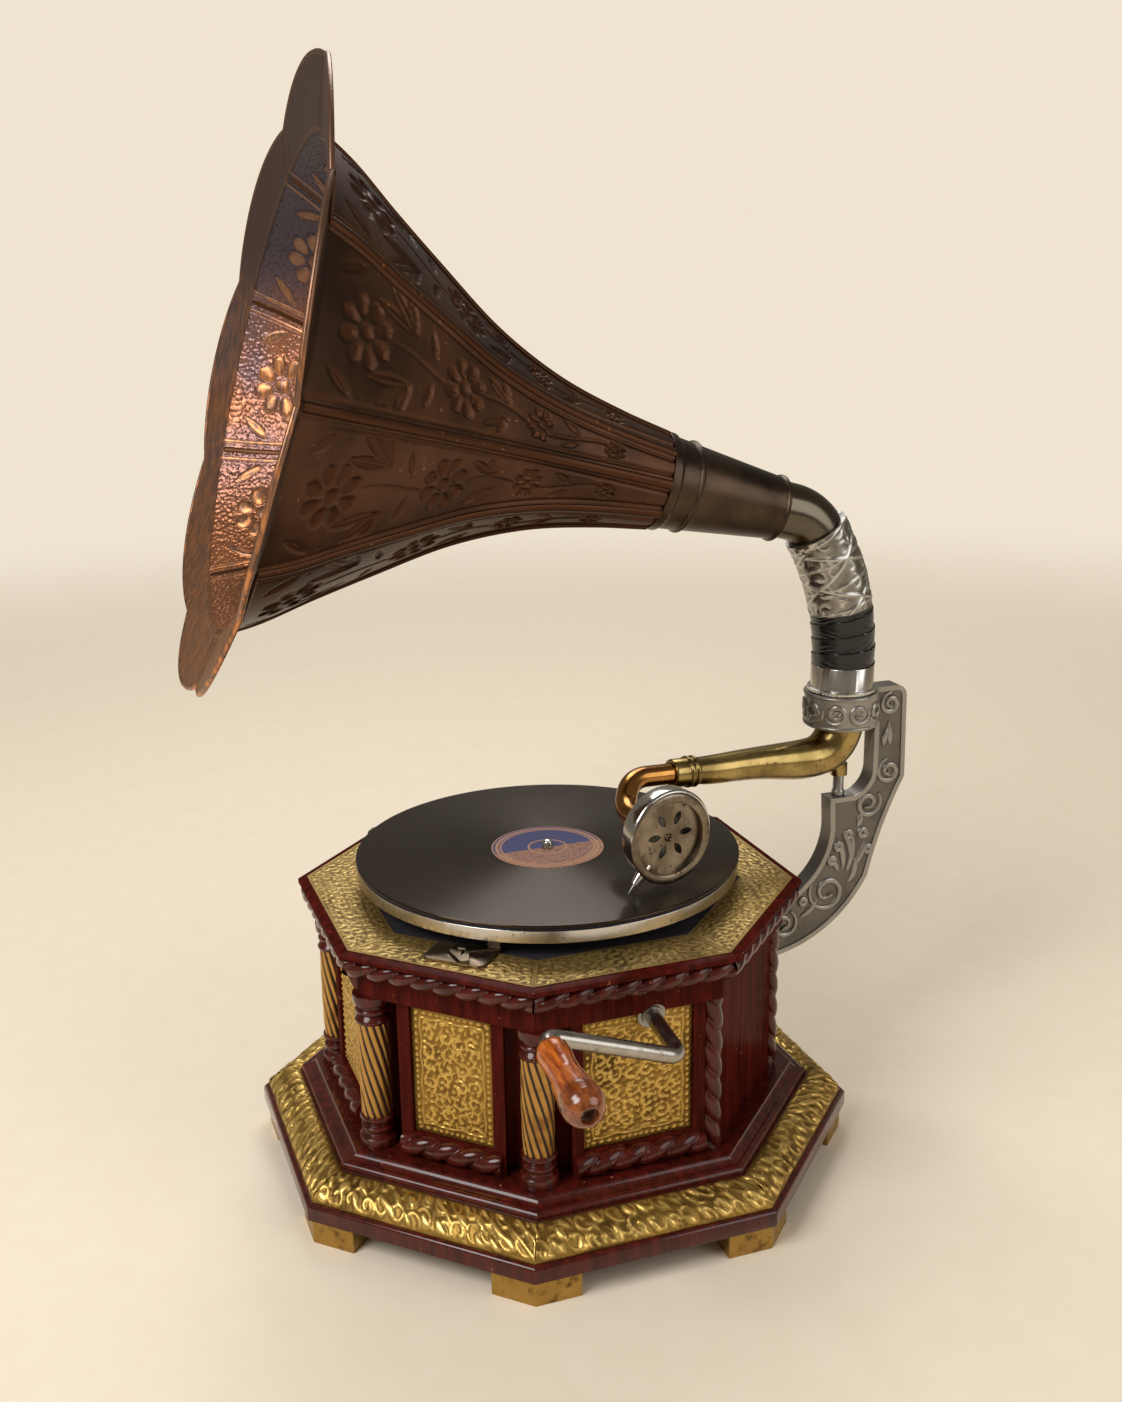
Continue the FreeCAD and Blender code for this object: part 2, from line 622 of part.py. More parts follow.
def intermediate_place():
    """Barrel direction and the arbor that meshes with both the barrel and the spindle."""
    barrel = barrel_place()
    reach = (SECOND_WHEEL_TEETH + SPINDLE_PINION_TEETH) * MODULE / 2
    mesh = (BARREL_TEETH + FIRST_PINION_TEETH) * MODULE / 2
    span = barrel.Length
    along = (span ** 2 + reach ** 2 - mesh ** 2) / (2 * span)
    ahead = V(barrel).normalize()
    return ahead, ahead * along + Z.cross(ahead) * math.sqrt(reach ** 2 - along ** 2)


def make_motor():
    barrel = barrel_place()
    place = intermediate_place()[1]
    corners = [V(PILLAR_LEFT, PILLAR_FRONT, 0), V(PILLAR_LEFT, PILLAR_BACK, 0),
               V(PILLAR_RIGHT, PILLAR_FRONT, 0),
               V(PILLAR_RIGHT, PILLAR_BACK, 0)]
    margin = V(2 * PILLAR_RADIUS, 2 * PILLAR_RADIUS, 0)
    low, high = corners[0] - margin, corners[3] + margin
    bearings = [(V(0, 0, 0), SPINDLE_RADIUS), (barrel, ARBOR_RADIUS), (place, PINION_ARBOR_RADIUS)]
    bottom = box(low + Z * (BOTTOM_PLATE_TOP - PLATE_THICK), high + Z * BOTTOM_PLATE_TOP)
    top = box(low + Z * TOP_PLATE_FOOT, high + Z * BOARD_FOOT)
    for spot, radius in bearings:
        pit = rod(spot + Z * (BOTTOM_PLATE_TOP - PLATE_THICK / 2), spot + Z * BOARD_FOOT,
                  radius + RUNNING_FIT)
        bottom, top = bottom.cut(pit), top.cut(pit)
    mouth, outward = crank_axis()
    save("motor_top_plate", top)
    save("motor_bottom_plate", bottom)
    save("motor_pillars",
         [rod(c + Z * BOTTOM_PLATE_TOP, c + Z * TOP_PLATE_FOOT, PILLAR_RADIUS) for c in corners])

    gear_foot = BOTTOM_PLATE_TOP + BARREL_LIFT
    drum_foot = gear_foot
    drum_top = drum_foot + BARREL_HEIGHT
    toward = place - barrel
    phase = math.atan2(toward.y, toward.x) + math.pi / BARREL_TEETH
    gear = spur_gear(BARREL_TEETH, phase, barrel + Z * gear_foot, WHEEL_FACE)
    drum = Part.makeCylinder(BARREL_RADIUS, BARREL_HEIGHT, barrel + Z * drum_foot)
    hollow = Part.makeCylinder(BARREL_RADIUS - BARREL_WALL, BARREL_HEIGHT,
                               barrel + Z * (drum_foot + BARREL_WALL))
    arbor_bore = rod(barrel + Z * BOTTOM_PLATE_TOP, barrel + Z * TOP_PLATE_FOOT, ARBOR_RADIUS + RUNNING_FIT)
    save("spring_barrel", gear.fuse(drum).cut(hollow).cut(arbor_bore))
    lid = Part.makeCylinder(BARREL_RADIUS - BARREL_WALL, BARREL_WALL, barrel + Z * (drum_top - BARREL_WALL))
    save("barrel_cover", lid.cut(arbor_bore))

    hub_foot, hub_top = drum_foot + BARREL_WALL + THRUST_GAP, drum_top - BARREL_WALL - THRUST_GAP
    pitch = (BARREL_RADIUS - BARREL_WALL - SPRING_HUB_RADIUS - SPRING_STRIP - 2 * THRUST_GAP) / SPRING_TURNS
    arcs = {0.0: [], SPRING_STRIP: []}
    for k in range(2 * SPRING_TURNS):
        side = 1 if k % 2 == 0 else -1
        centre = V(pitch / 4 - side * pitch / 4, 0, 0)
        for extra, edges in arcs.items():
            radius = SPRING_HUB_RADIUS + THRUST_GAP + k * pitch / 2 + extra
            edges.append(arc(centre + X * side * radius, centre + Y * side * radius,
                             centre - X * side * radius))
    ends = [line(edges[0].valueAt(edges[0].FirstParameter), other[0].valueAt(other[0].FirstParameter))
            for edges, other in [(arcs[0.0], arcs[SPRING_STRIP])]]
    ends += [line(arcs[0.0][-1].valueAt(arcs[0.0][-1].LastParameter),
                  arcs[SPRING_STRIP][-1].valueAt(arcs[SPRING_STRIP][-1].LastParameter))]
    strip = Part.Face(Part.Wire(Part.__sortEdges__(arcs[0.0] + arcs[SPRING_STRIP] + ends)))
    save("mainspring", moved(strip.extrude(Z * (hub_top - hub_foot)), barrel + Z * hub_foot))

    # The winding pair shares an apex where the crank's axis meets the barrel's
    apex = mouth - outward * ((mouth.x - barrel.x) / outward.x)
    shafts = math.radians(90.0 - CRANK_DROOP)
    ratio = WINDING_WHEEL_TEETH / WINDING_PINION_TEETH
    pinion_cone = math.atan2(math.sin(shafts), ratio + math.cos(shafts))
    wheel_cone = shafts - pinion_cone
    wheel_reach = WINDING_WHEEL_TEETH * MODULE / 2 / math.tan(wheel_cone)
    pinion_reach = WINDING_PINION_TEETH * MODULE / 2 / math.tan(pinion_cone)
    wheel = bevel_gear(WINDING_WHEEL_TEETH, math.pi / WINDING_WHEEL_TEETH, wheel_reach, BEVEL_FACE, 3.0)
    wheel.Placement = FreeCAD.Placement(apex, FreeCAD.Rotation(X, -Y, -Z))
    save("winding_wheel", wheel.cut(rod(barrel, barrel + Z * WALL_TOP, ARBOR_RADIUS)))
    arbor = rod(barrel + Z * (BOTTOM_PLATE_TOP - PLATE_THICK / 2), barrel + Z * (BOARD_FOOT - 0.2),
                ARBOR_RADIUS)
    hub = rod(barrel + Z * hub_foot, barrel + Z * hub_top, SPRING_HUB_RADIUS)
    save("barrel_arbor", arbor.fuse(hub).removeSplitter())
    pinion = bevel_gear(WINDING_PINION_TEETH, 0.0, pinion_reach, BEVEL_FACE, 4.0)
    pinion.Placement = FreeCAD.Placement(apex, FreeCAD.Rotation(-Y.cross(outward), -Y, outward))
    tail = apex + outward * (pinion_reach + 2.0)
    shaft = rod(tail, mouth + outward * 2.0, WINDING_SHAFT_RADIUS)
    socket = rod(mouth + outward * (2.0 - SOCKET_DEPTH), mouth + outward * 3.0, ROD_RADIUS)
    save("winding_shaft", shaft.fuse(pinion).cut(socket))
    bush = rod(mouth - outward * BUSH_LENGTH, mouth + outward * 1.0, BUSH_RADIUS)
    bush_bore = rod(mouth - outward * BUSH_LENGTH, mouth + outward * 2, WINDING_SHAFT_RADIUS + RUNNING_FIT)
    save("crank_bush", bush.cut(bush_bore))

    pinion_angle = math.atan2(-toward.y, -toward.x)
    arbor = rod(place + Z * (BOTTOM_PLATE_TOP - PLATE_THICK / 2), place + Z * (BOARD_FOOT - 0.2),
                PINION_ARBOR_RADIUS)
    leaves = spur_gear(FIRST_PINION_TEETH, pinion_angle, place + Z * (gear_foot - 1), WHEEL_FACE + 2)
    save("intermediate_arbor", arbor.fuse(leaves).removeSplitter())
    back = math.atan2(-place.y, -place.x) + math.pi / SECOND_WHEEL_TEETH
    wheel = spur_gear(SECOND_WHEEL_TEETH, back, place + Z * (BOTTOM_PLATE_TOP + 3.0), WHEEL_FACE)
    save("intermediate_wheel", wheel.cut(rod(place, place + Z * WALL_TOP, PINION_ARBOR_RADIUS)))


def make_governor():
    """A worm shaft along X in front of the spindle, with three balls on leaf springs and a brake disc."""
    reach = (WORM_WHEEL_TEETH / 2 + ADDENDUM) * MODULE + WORM_RADIUS + THRUST_GAP
    start = V(WORM_LENGTH / 2 + 6.0, -reach, worm_height())
    along = -X
    end = start + along * GOVERNOR_LENGTH
    shaft = rod(start, end, GOVERNOR_SHAFT_RADIUS)
    worm = rod(V(WORM_LENGTH / 2, -reach, start.z), V(-WORM_LENGTH / 2, -reach, start.z), WORM_RADIUS)
    save("governor_shaft", shaft.fuse(worm).removeSplitter())
    first = start + along * (WORM_LENGTH + 12.0)
    last = first + along * 34.0
    middle = (first + last) * 0.5
    collar = GOVERNOR_SHAFT_RADIUS + 3.0
    collars = [rod(first - along * 2, first + along * 2, collar),
               rod(last - along * 2, last + along * 2, collar)]
    disc = collars[1].fuse(rod(last + along * 2, last + along * 5, DISC_RADIUS))
    bore = rod(start, end, GOVERNOR_SHAFT_RADIUS)
    save("governor_disc", [collars[0].cut(bore), disc.cut(bore)])
    springs, balls = [], []
    strip = 0.5
    for k in range(3):
        low, high = first + Z * collar, last + Z * collar
        bow = [low, middle + Z * (BALL_ORBIT - BALL_RADIUS), high]
        path = Part.Wire([arc(*bow)])
        outer = Part.Wire([arc(*[p + Z * strip for p in bow])])
        face = Part.Face(Part.Wire(path.Edges + [line(bow[2], bow[2] + Z * strip)] + outer.Edges
                                   + [line(bow[0] + Z * strip, bow[0])]))
        leaf = moved(face.extrude(Y * 4), -Y * 2)
        seat = middle + Z * (BALL_ORBIT - BALL_RADIUS + strip)
        ball = Part.makeSphere(BALL_RADIUS, seat + Z * BALL_RADIUS * 0.8)
        ball = ball.cut(box(seat - V(9, 9, 9), seat + V(9, 9, 0)))
        springs.append(turned(leaf, 120 * k, middle, along))
        balls.append(turned(ball, 120 * k, middle, along))
    save("governor_springs", springs)
    save("governor_balls", balls)
    posts = []
    for spot in (start + along * 2.5, end - along * 2.5):
        post = box(spot + V(-2.5, -5, -5), V(spot.x + 2.5, spot.y + 5, TOP_PLATE_FOOT))
        posts.append(post.cut(rod(start + X, end - X, GOVERNOR_SHAFT_RADIUS + RUNNING_FIT)))
    save("governor_brackets", posts)


def make_crank():
    mouth, outward = crank_axis()
    across = Y.cross(outward)
    rest = math.radians(CRANK_REST_ANGLE)
    arm = -Y * math.cos(rest) - across * math.sin(rest)
    bend = mouth + outward * CRANK_OUT
    knee = bend + arm * CRANK_ARM
    grip_end = knee + outward * (GRIP_START + GRIP_LENGTH)
    path = rounded_path([mouth + outward * (2.0 - SOCKET_DEPTH), bend, knee, grip_end - outward * 6.0],
                        CRANK_BEND)
    save("crank_rod", piped(path, ROD_RADIUS))
    length, r = GRIP_LENGTH, GRIP_RADIUS
    bore = ROD_RADIUS + RUNNING_FIT
    outline = [(0.0, 0.52), (0.03, 0.66), (0.09, 0.77), (0.17, 0.78), (0.3, 0.72), (0.45, 0.74), (0.62, 0.88),
               (0.76, 0.99), (0.86, 0.98), (0.94, 0.82), (0.985, 0.6), (1.0, 0.45)]
    profile = [(bore, 0)] + [(r * share, length * at) for at, share in outline] + [(bore, length)]
    save("crank_grip", revolved(profile, knee + outward * GRIP_START, outward))


def screw_spots():
    spread = PAD_HALF_WIDTH * 0.62
    rise = PAD_HEAD - PAD_FOOT
    return [V(-spread, WALL_FLAT, PAD_FOOT + rise * 0.82), V(spread, WALL_FLAT, PAD_FOOT + rise * 0.82),
            V(-spread, WALL_FLAT, PAD_FOOT + rise * 0.2), V(spread, WALL_FLAT, PAD_FOOT + rise * 0.2)]


def at(y, z):
    return V(0, y, z)


def make_bracket():
    pad_face = WALL_FLAT + PAD_THICK
    back, inner = PIVOT_Y + 48.5, PIVOT_Y + 24.0
    ring_top = RING_FOOT + RING_HEIGHT
    low_start, low_end = at(pad_face, PAD_FOOT + 3), at(PIVOT_Y + 22.5, SHELF_HEIGHT - 0.954 * SHELF_DROP)
    hip = at(back + 1, SHELF_HEIGHT + 10)
    shelf_out, shelf_in = at(PIVOT_Y - 9.5, SHELF_HEIGHT), at(PIVOT_Y + 10, SHELF_HEIGHT)
    neck_low = at(PIVOT_Y - 28, SHELF_HEIGHT - 0.954 * SHELF_DROP)
    root_high = at(pad_face, PAD_HEAD - 19)
    edges = [
        arc(low_start, at(PIVOT_Y - 12, SHELF_HEIGHT - 1.523 * SHELF_DROP), low_end),
        arc(low_end, at(PIVOT_Y + 33, SHELF_HEIGHT - 0.415 * SHELF_DROP), hip),
        line(hip, at(back, ring_top - 8)),
        arc(at(back, ring_top - 8), at(back - 2.4, ring_top - 2.4), at(back - 8, ring_top)),
        line(at(back - 8, ring_top), at(PIVOT_Y + 21, ring_top)),
        line(at(PIVOT_Y + 21, ring_top), at(PIVOT_Y + 21, RING_FOOT)),
        line(at(PIVOT_Y + 21, RING_FOOT), at(inner, RING_FOOT - 3)),
        line(at(inner, RING_FOOT - 3), at(inner, SHELF_HEIGHT + 18)),
        arc(at(inner, SHELF_HEIGHT + 18), at(inner - 4, SHELF_HEIGHT + 7), shelf_in),
        line(shelf_in, shelf_out),
        line(shelf_out, at(PIVOT_Y - 8.5, SHELF_HEIGHT - 0.338 * SHELF_DROP)),
        arc(at(PIVOT_Y - 8.5, SHELF_HEIGHT - 0.338 * SHELF_DROP),
            at(PIVOT_Y - 14, SHELF_HEIGHT - 0.677 * SHELF_DROP), neck_low),
        arc(neck_low, at(PIVOT_Y - 50, SHELF_HEIGHT - 1.185 * SHELF_DROP), root_high),
        line(root_high, low_start)]
    outline = Part.Face(Part.Wire(edges))
    web = moved(outline.extrude(X * BRACKET_THICK), -X * BRACKET_THICK / 2)
    field = outline.makeOffset2D(-BRACKET_BORDER)
    for side in (-1, 1):
        sink = field.extrude(X * side * BRACKET_THICK)
        web = web.cut(moved(sink, X * side * (BRACKET_THICK / 2 - BRACKET_SINK)))
    ring = Part.makeCylinder(RING_RADIUS, RING_HEIGHT, at(PIVOT_Y, RING_FOOT))
    pad = box(V(-PAD_HALF_WIDTH, WALL_FLAT, PAD_FOOT), V(PAD_HALF_WIDTH, pad_face, PAD_HEAD))
    casting = web.multiFuse([ring, pad]).removeSplitter()
    bore = Part.makeCylinder(RING_BORE, RING_HEIGHT, at(PIVOT_Y, RING_FOOT))
    pin_hole = Part.makeCylinder(PIVOT_PIN_RADIUS, PIVOT_PIN_SEAT, at(PIVOT_Y, SHELF_HEIGHT - PIVOT_PIN_SEAT))
    holes = [rod(spot, spot + Y * PAD_THICK, SCREW_RADIUS) for spot in screw_spots()]
    save("bracket", casting.cut(Part.makeCompound([bore, pin_hole] + holes)))
    screws = []
    for spot in screw_spots():
        head = spot + Y * PAD_THICK
        dome = Part.makeSphere(SCREW_HEAD_RADIUS * 1.3, head - Y * SCREW_HEAD_RADIUS * 0.8)
        cap = dome.common(rod(head, head + Y * SCREW_HEAD_RADIUS, SCREW_HEAD_RADIUS))
        screws.append(cap.fuse(rod(head, spot - Y * SCREW_GRIP, SCREW_RADIUS)).removeSplitter())
    save("bracket_screws", screws)
    foot, thrust = SHELF_HEIGHT - PIVOT_PIN_SEAT, arm_boss_foot() - THRUST_GAP
    r, wide = PIVOT_PIN_RADIUS, PIVOT_PIN_COLLAR
    save("pivot_pin",
         revolved([(0, foot), (r, foot), (r, SHELF_HEIGHT), (wide, SHELF_HEIGHT), (wide, SHELF_HEIGHT + 3),
                                (r + 0.8, SHELF_HEIGHT + 5), (r + 0.8, thrust), (r, thrust), (r, thrust + 6),
                                (0, thrust + 6)],
                               at(PIVOT_Y, 0)))


def arm_boss_foot():
    return ARM_HEIGHT - ARM_BEND_RADIUS - BOSS_DROP


def arm_frame():
    """Level direction of the arm, its rising direction and the place where the tube ends."""
    turn, rise = math.radians(ARM_TURN), math.radians(ARM_RISE)
    level = V(math.sin(turn), -math.cos(turn), 0)
    ahead = level * math.cos(rise) + Z * math.sin(rise)
    bend_top = at(PIVOT_Y, ARM_HEIGHT + ARM_BEND)
    bend_end = bend_top + (level * (1 + math.sin(rise)) - Z * math.cos(rise)) * ARM_BEND
    return level, ahead, bend_end, bend_end + ahead * ARM_RUN


def make_tonearm():
    level, ahead, bend_end, tip = arm_frame()
    spots = [(at(PIVOT_Y, RING_FOOT + 1.0), -Z, ARM_HEAD_RADIUS)]
    for k in range(4):
        angle = math.radians(k * (90 + ARM_RISE) / 3)
        spot = at(PIVOT_Y, ARM_HEIGHT + ARM_BEND)
        spot += (level * (1 - math.cos(angle)) - Z * math.sin(angle)) * ARM_BEND
        share = k / 3
        radius = ARM_HEAD_RADIUS + (ARM_BEND_RADIUS - ARM_HEAD_RADIUS) * share
        if k:
            spots.append((spot, level * math.sin(angle) - Z * math.cos(angle), radius))
    for share in (0.35, 0.7, 1.0):
        radius = ARM_BEND_RADIUS + (ARM_TIP_RADIUS - ARM_BEND_RADIUS) * share ** 0.85
        spots.append((bend_end + ahead * ARM_RUN * share, ahead, radius))
    skins = []
    for wall in (0.0, TUBE_WALL):
        rings = [Part.Circle(spot, normal, radius - wall) for spot, normal, radius in spots]
        wires = [Part.Wire(ring.toShape()) for ring in rings]
        skins.append(Part.makeLoft(wires, True, False))
    flange_foot = RING_FOOT + 1.0
    flange = Part.makeCylinder(RING_BORE - RUNNING_FIT, ARM_FLANGE, at(PIVOT_Y, flange_foot))
    passage = Part.makeCylinder(ARM_HEAD_RADIUS - TUBE_WALL, ARM_FLANGE, at(PIVOT_Y, flange_foot))
    boss_top = ARM_HEIGHT - ARM_BEND_RADIUS + 6.0
    boss = Part.makeCylinder(PIVOT_PIN_COLLAR + 1.4, boss_top - arm_boss_foot(), at(PIVOT_Y, arm_boss_foot()))
    socket = Part.makeCylinder(PIVOT_PIN_RADIUS + RUNNING_FIT, 6.3, at(PIVOT_Y, arm_boss_foot() - 0.1))
    tube = skins[0].cut(skins[1]).multiFuse([flange.cut(passage), boss]).cut(socket)
    save("tonearm_tube", tube)
    inner, r = NECK_RADIUS + RUNNING_FIT, COLLAR_RADIUS
    length = COLLAR_LENGTH
    save("tonearm_collar", revolved([
        (inner, 0), (r, 0), (r, length * 0.08), (r + 1.1, length * 0.12), (r + 1.1, length * 0.2),
        (r, length * 0.24),
        (r, length * 0.3), (r + 1.1, length * 0.34), (r + 1.1, length * 0.42), (r, length * 0.46),
        (r, length * 0.96),
        (r - 0.6, length), (inner, length)], tip, ahead))


def soundbox_place():
    turn, lean = math.radians(SOUNDBOX_TURN), math.radians(NEEDLE_LEAN)
    outward = V(math.cos(turn), math.sin(turn), 0)
    along = V(math.sin(turn), -math.cos(turn), 0)
    toward = along * math.sin(lean) - Z * math.cos(lean)
    centre = V(SOUNDBOX_X, SOUNDBOX_Y, RECORD_TOP + NEEDLE_LIFT + NEEDLE_REACH * math.cos(lean))
    turned_to = FreeCAD.Rotation(toward, outward.cross(toward), outward)
    return FreeCAD.Placement(centre, turned_to), outward, centre


def make_soundbox():
    place, outward, centre = soundbox_place()
    r, bezel, depth = SOUNDBOX_RADIUS, SOUNDBOX_BEZEL, SOUNDBOX_DEPTH
    front = depth * 0.35
    back = front - depth
    inside = r - bezel
    ledge = back + 5.0
    socket_back = back - 5.0
    neck = NECK_RADIUS + 0.1
    case = revolved([
        (neck, socket_back), (neck + 1.6, socket_back), (neck + 2.2, back), (r * 0.76, back),
        (r - 1.2, back + 3.2),
        (r, back + 4.4), (r, front - 1.4), (r - 1.0, front), (inside + 0.8, front), (inside, front - 1.0),
        (inside, ledge),
        (inside - 2.5, ledge), (inside - 2.5, back + 2.0), (neck - 1.4, back + 2.0), (neck - 1.4, back),
        (neck, back)])
    chuck_hole = rod(X * (inside - 4), X * (r + 4), CHUCK_RADIUS + 0.1)
    grille_face = front - GRILLE_SINK
    skirt_foot = ledge + DIAPHRAGM_THICK
    grille = revolved([(0, grille_face - GRILLE_THICK), (inside - 2.2, grille_face - GRILLE_THICK),
                       (inside - 2.2, skirt_foot),
                       (inside - 0.1, skirt_foot), (inside - 0.1, grille_face), (0, grille_face)])
    slots = []
    for k in range(GRILLE_SLOTS):
        ends = [X * inside * 0.26, X * inside * 0.62]
        middle = (ends[0] + ends[1]) * 0.5
        swell = Y * inside * 0.085
        lens = Part.Face(Part.Wire([arc(ends[0], middle + swell, ends[1]),
                                    arc(ends[1], middle - swell, ends[0])]))
        slots.append(turned(moved(lens.extrude(Z * 6), Z * (grille_face - 4)), k * 360 / GRILLE_SLOTS + 12))
    slots.append(rod(Z * (grille_face - 4), Z * (grille_face + 1), 1.0))
    diaphragm = Part.makeCylinder(inside - 0.15, DIAPHRAGM_THICK, Z * ledge)
    chuck_foot, needle_foot = CHUCK_FOOT, CHUCK_FOOT + NEEDLE_SEAT
    chuck = revolved([
        (NEEDLE_RADIUS, needle_foot), (NEEDLE_RADIUS, CHUCK_REACH), (CHUCK_RADIUS * 0.72, CHUCK_REACH),
        (CHUCK_RADIUS, CHUCK_REACH - 6), (CHUCK_RADIUS, chuck_foot), (0, chuck_foot), (0, needle_foot)],
        axis=X)
    tip = NEEDLE_REACH
    stylus = revolved([
        (0, needle_foot), (NEEDLE_RADIUS, needle_foot), (NEEDLE_RADIUS, tip - 5), (0.12, tip), (0, tip)],
        axis=X)
    slotted = grille.cut(Part.makeCompound(slots + [chuck_hole]))
    pieces = {"soundbox_case": case.cut(chuck_hole), "soundbox_grille": slotted,
              "diaphragm": diaphragm, "needle_bar": chuck, "needle": stylus}
    for name, shape in pieces.items():
        shape.Placement = place.multiply(shape.Placement)
        save(name, shape)
    level, ahead, bend_end, tip_place = arm_frame()
    start = tip_place + ahead * (COLLAR_LENGTH - NECK_SEAT)
    first = tip_place + ahead * (COLLAR_LENGTH + NECK_RUN)
    seat = centre + outward * back
    path = rounded_path([start, first, seat - outward * NECK_END_RUN, seat], NECK_BEND)
    save("gooseneck", piped(path, NECK_RADIUS, NECK_RADIUS - TUBE_WALL))


def make_deck_controls():
    place = FreeCAD.Placement(polar(BRAKE_RING, BRAKE_ANGLE, SHEET_TOP), FreeCAD.Rotation(Z, BRAKE_ANGLE))
    half = BRAKE_PLATE_LENGTH / 2
    low = -BRAKE_PLATE_WIDTH * 0.42
    plate = box(V(low, -half, 0), V(low + BRAKE_PLATE_WIDTH, half, BRAKE_PLATE_THICK))
    corners = [edge for edge in plate.Edges if edge.BoundBox.ZLength > BRAKE_PLATE_THICK / 2]
    plate = plate.makeFillet(4.0, corners)
    lever_foot = BRAKE_PLATE_THICK + THRUST_GAP
    post = Part.makeCylinder(BRAKE_PIVOT_RADIUS, lever_foot + BRAKE_LEVER_THICK + 1.0)
    pin = plate.fuse(post).removeSplitter()
    pin.Placement = place
    save("brake_plate", pin)
    rim = PLATTER_RADIUS - PLATTER_WALL
    pad_out = rim - BRAKE_PAD_GAP - BRAKE_RING
    outline = [V(-5, -6, lever_foot), V(5, -6, lever_foot), V(16, 7, lever_foot), V(13, 11, lever_foot),
               V(2, 6, lever_foot),
               V(pad_out, BRAKE_PAD_OFFSET + 4, lever_foot),
               V(pad_out - BRAKE_PAD, BRAKE_PAD_OFFSET + 4, lever_foot)]
    bar = face_of(outline).extrude(Z * BRAKE_LEVER_THICK)
    eye = Part.makeCylinder(BRAKE_PIVOT_RADIUS + 3.5, BRAKE_LEVER_THICK, Z * lever_foot)
    pad_top = RIM_FOOT - SHEET_TOP + PLATTER_RIM * 0.5
    pad = box(V(pad_out - BRAKE_PAD, BRAKE_PAD_OFFSET - 4, lever_foot),
              V(pad_out, BRAKE_PAD_OFFSET + 4, pad_top))
    pivot_hole = Part.makeCylinder(BRAKE_PIVOT_RADIUS + RUNNING_FIT, 20)
    lever = bar.multiFuse([eye, pad]).cut(pivot_hole).removeSplitter()
    lever.Placement = place
    save("brake_lever", lever)
    spot = polar(KNOB_RING, KNOB_ANGLE, SHEET_TOP)
    r, high = KNOB_RADIUS, KNOB_HEIGHT
    save("speed_knob", revolved([
        (0, -KNOB_STEM + THRUST_GAP), (KNOB_STEM_RADIUS, -KNOB_STEM + THRUST_GAP),
        (KNOB_STEM_RADIUS, THRUST_GAP),
        (r * 0.8, THRUST_GAP), (r * 0.7, high * 0.25), (r, high * 0.5), (r, high * 0.8), (r * 0.7, high),
        (0, high)], spot))


def elbow_turns():
    """How far the elbow leans at the end of each of its two bends."""
    return math.radians(ELBOW_FIRST_TURN), math.radians(90.0 - HORN_TILT)


def horn_axis():
    """Small end of the collar, where the elbow enters it, and the direction to the mouth."""
    first, last = elbow_turns()
    lean_in = ELBOW_FIRST_BEND * (1 - math.cos(first))
    lean_in += ELBOW_SECOND_BEND * (math.cos(first) - math.cos(last))
    climb = ELBOW_FIRST_BEND * math.sin(first) + ELBOW_SECOND_BEND * (math.sin(last) - math.sin(first))
    ahead = at(-math.sin(last), math.cos(last))
    return at(PIVOT_Y - lean_in, BEND_FOOT + climb) + ahead * ELBOW_RUN, ahead


def horn_point(behind, radius, degrees):
    """A point of the horn, by distance behind the mouth, radius and angle from the top towards the crank."""
    origin, ahead = horn_axis()
    angle = math.radians(degrees)
    outward = X.cross(ahead) * -math.cos(angle) + X * math.sin(angle)
    return origin + ahead * (COLLAR_END - behind) + outward * radius


def across_petal(behind, seam_radius, middle_radius, degrees):
    """Arc across one petal, from seam to seam."""
    half = 180.0 / PETALS
    return arc(horn_point(behind, seam_radius, degrees - half), horn_point(behind, middle_radius, degrees),
               horn_point(behind, seam_radius, degrees + half))


def closed_band(outer, inner):
    """Wire round the strip between two arcs that run the same way."""
    ends = [line(a.Point, b.Point) for a, b in zip(outer.Vertexes, inner.Vertexes)]
    return Part.Wire(Part.sortEdges([outer, inner] + ends)[0])


def petal_wire(behind, seam_radius, middle_radius, degrees):
    """Outline of one petal's sheet where a plane cuts across the horn."""
    inner = across_petal(behind, seam_radius - PETAL_WALL, middle_radius - PETAL_WALL, degrees)
    return closed_band(across_petal(behind, seam_radius, middle_radius, degrees), inner)


def swung(shape):
    """The same shape with the horn turned on the ring to where it rests."""
    turn = FreeCAD.Placement(V(), FreeCAD.Rotation(Z, HORN_TURN), at(PIVOT_Y, 0))
    shape.Placement = turn.multiply(shape.Placement)
    return shape


def make_petals():
    """Petals lofted from the collar to the bell's edge, each with a flat scalloped lip at the mouth."""
    ahead = horn_axis()[1]
    _, bell_seam, bell_middle = PETAL_STATIONS[-1]
    petals = []
    for k in range(PETALS):
        middle = FIRST_SEAM + (k + 0.5) * 360.0 / PETALS
        wires = [petal_wire(PETAL_FOOT, PETAL_FOOT_RADIUS, PETAL_FOOT_RADIUS, middle)]
        wires += [petal_wire(behind, seam, crown, middle) for behind, seam, crown in PETAL_STATIONS]
        bell = Part.makeLoft(wires, True, False)
        inner = across_petal(0.0, bell_seam - PETAL_WALL, bell_middle - PETAL_WALL, middle)
        outer = across_petal(0.0, LIP_SEAM_RADIUS, LIP_TIP_RADIUS, middle)
        lip = Part.Face(closed_band(outer, inner)).extrude(ahead * PETAL_WALL)
        petals.append(swung(bell.fuse(lip).removeSplitter()))
    save("horn_petals", petals)


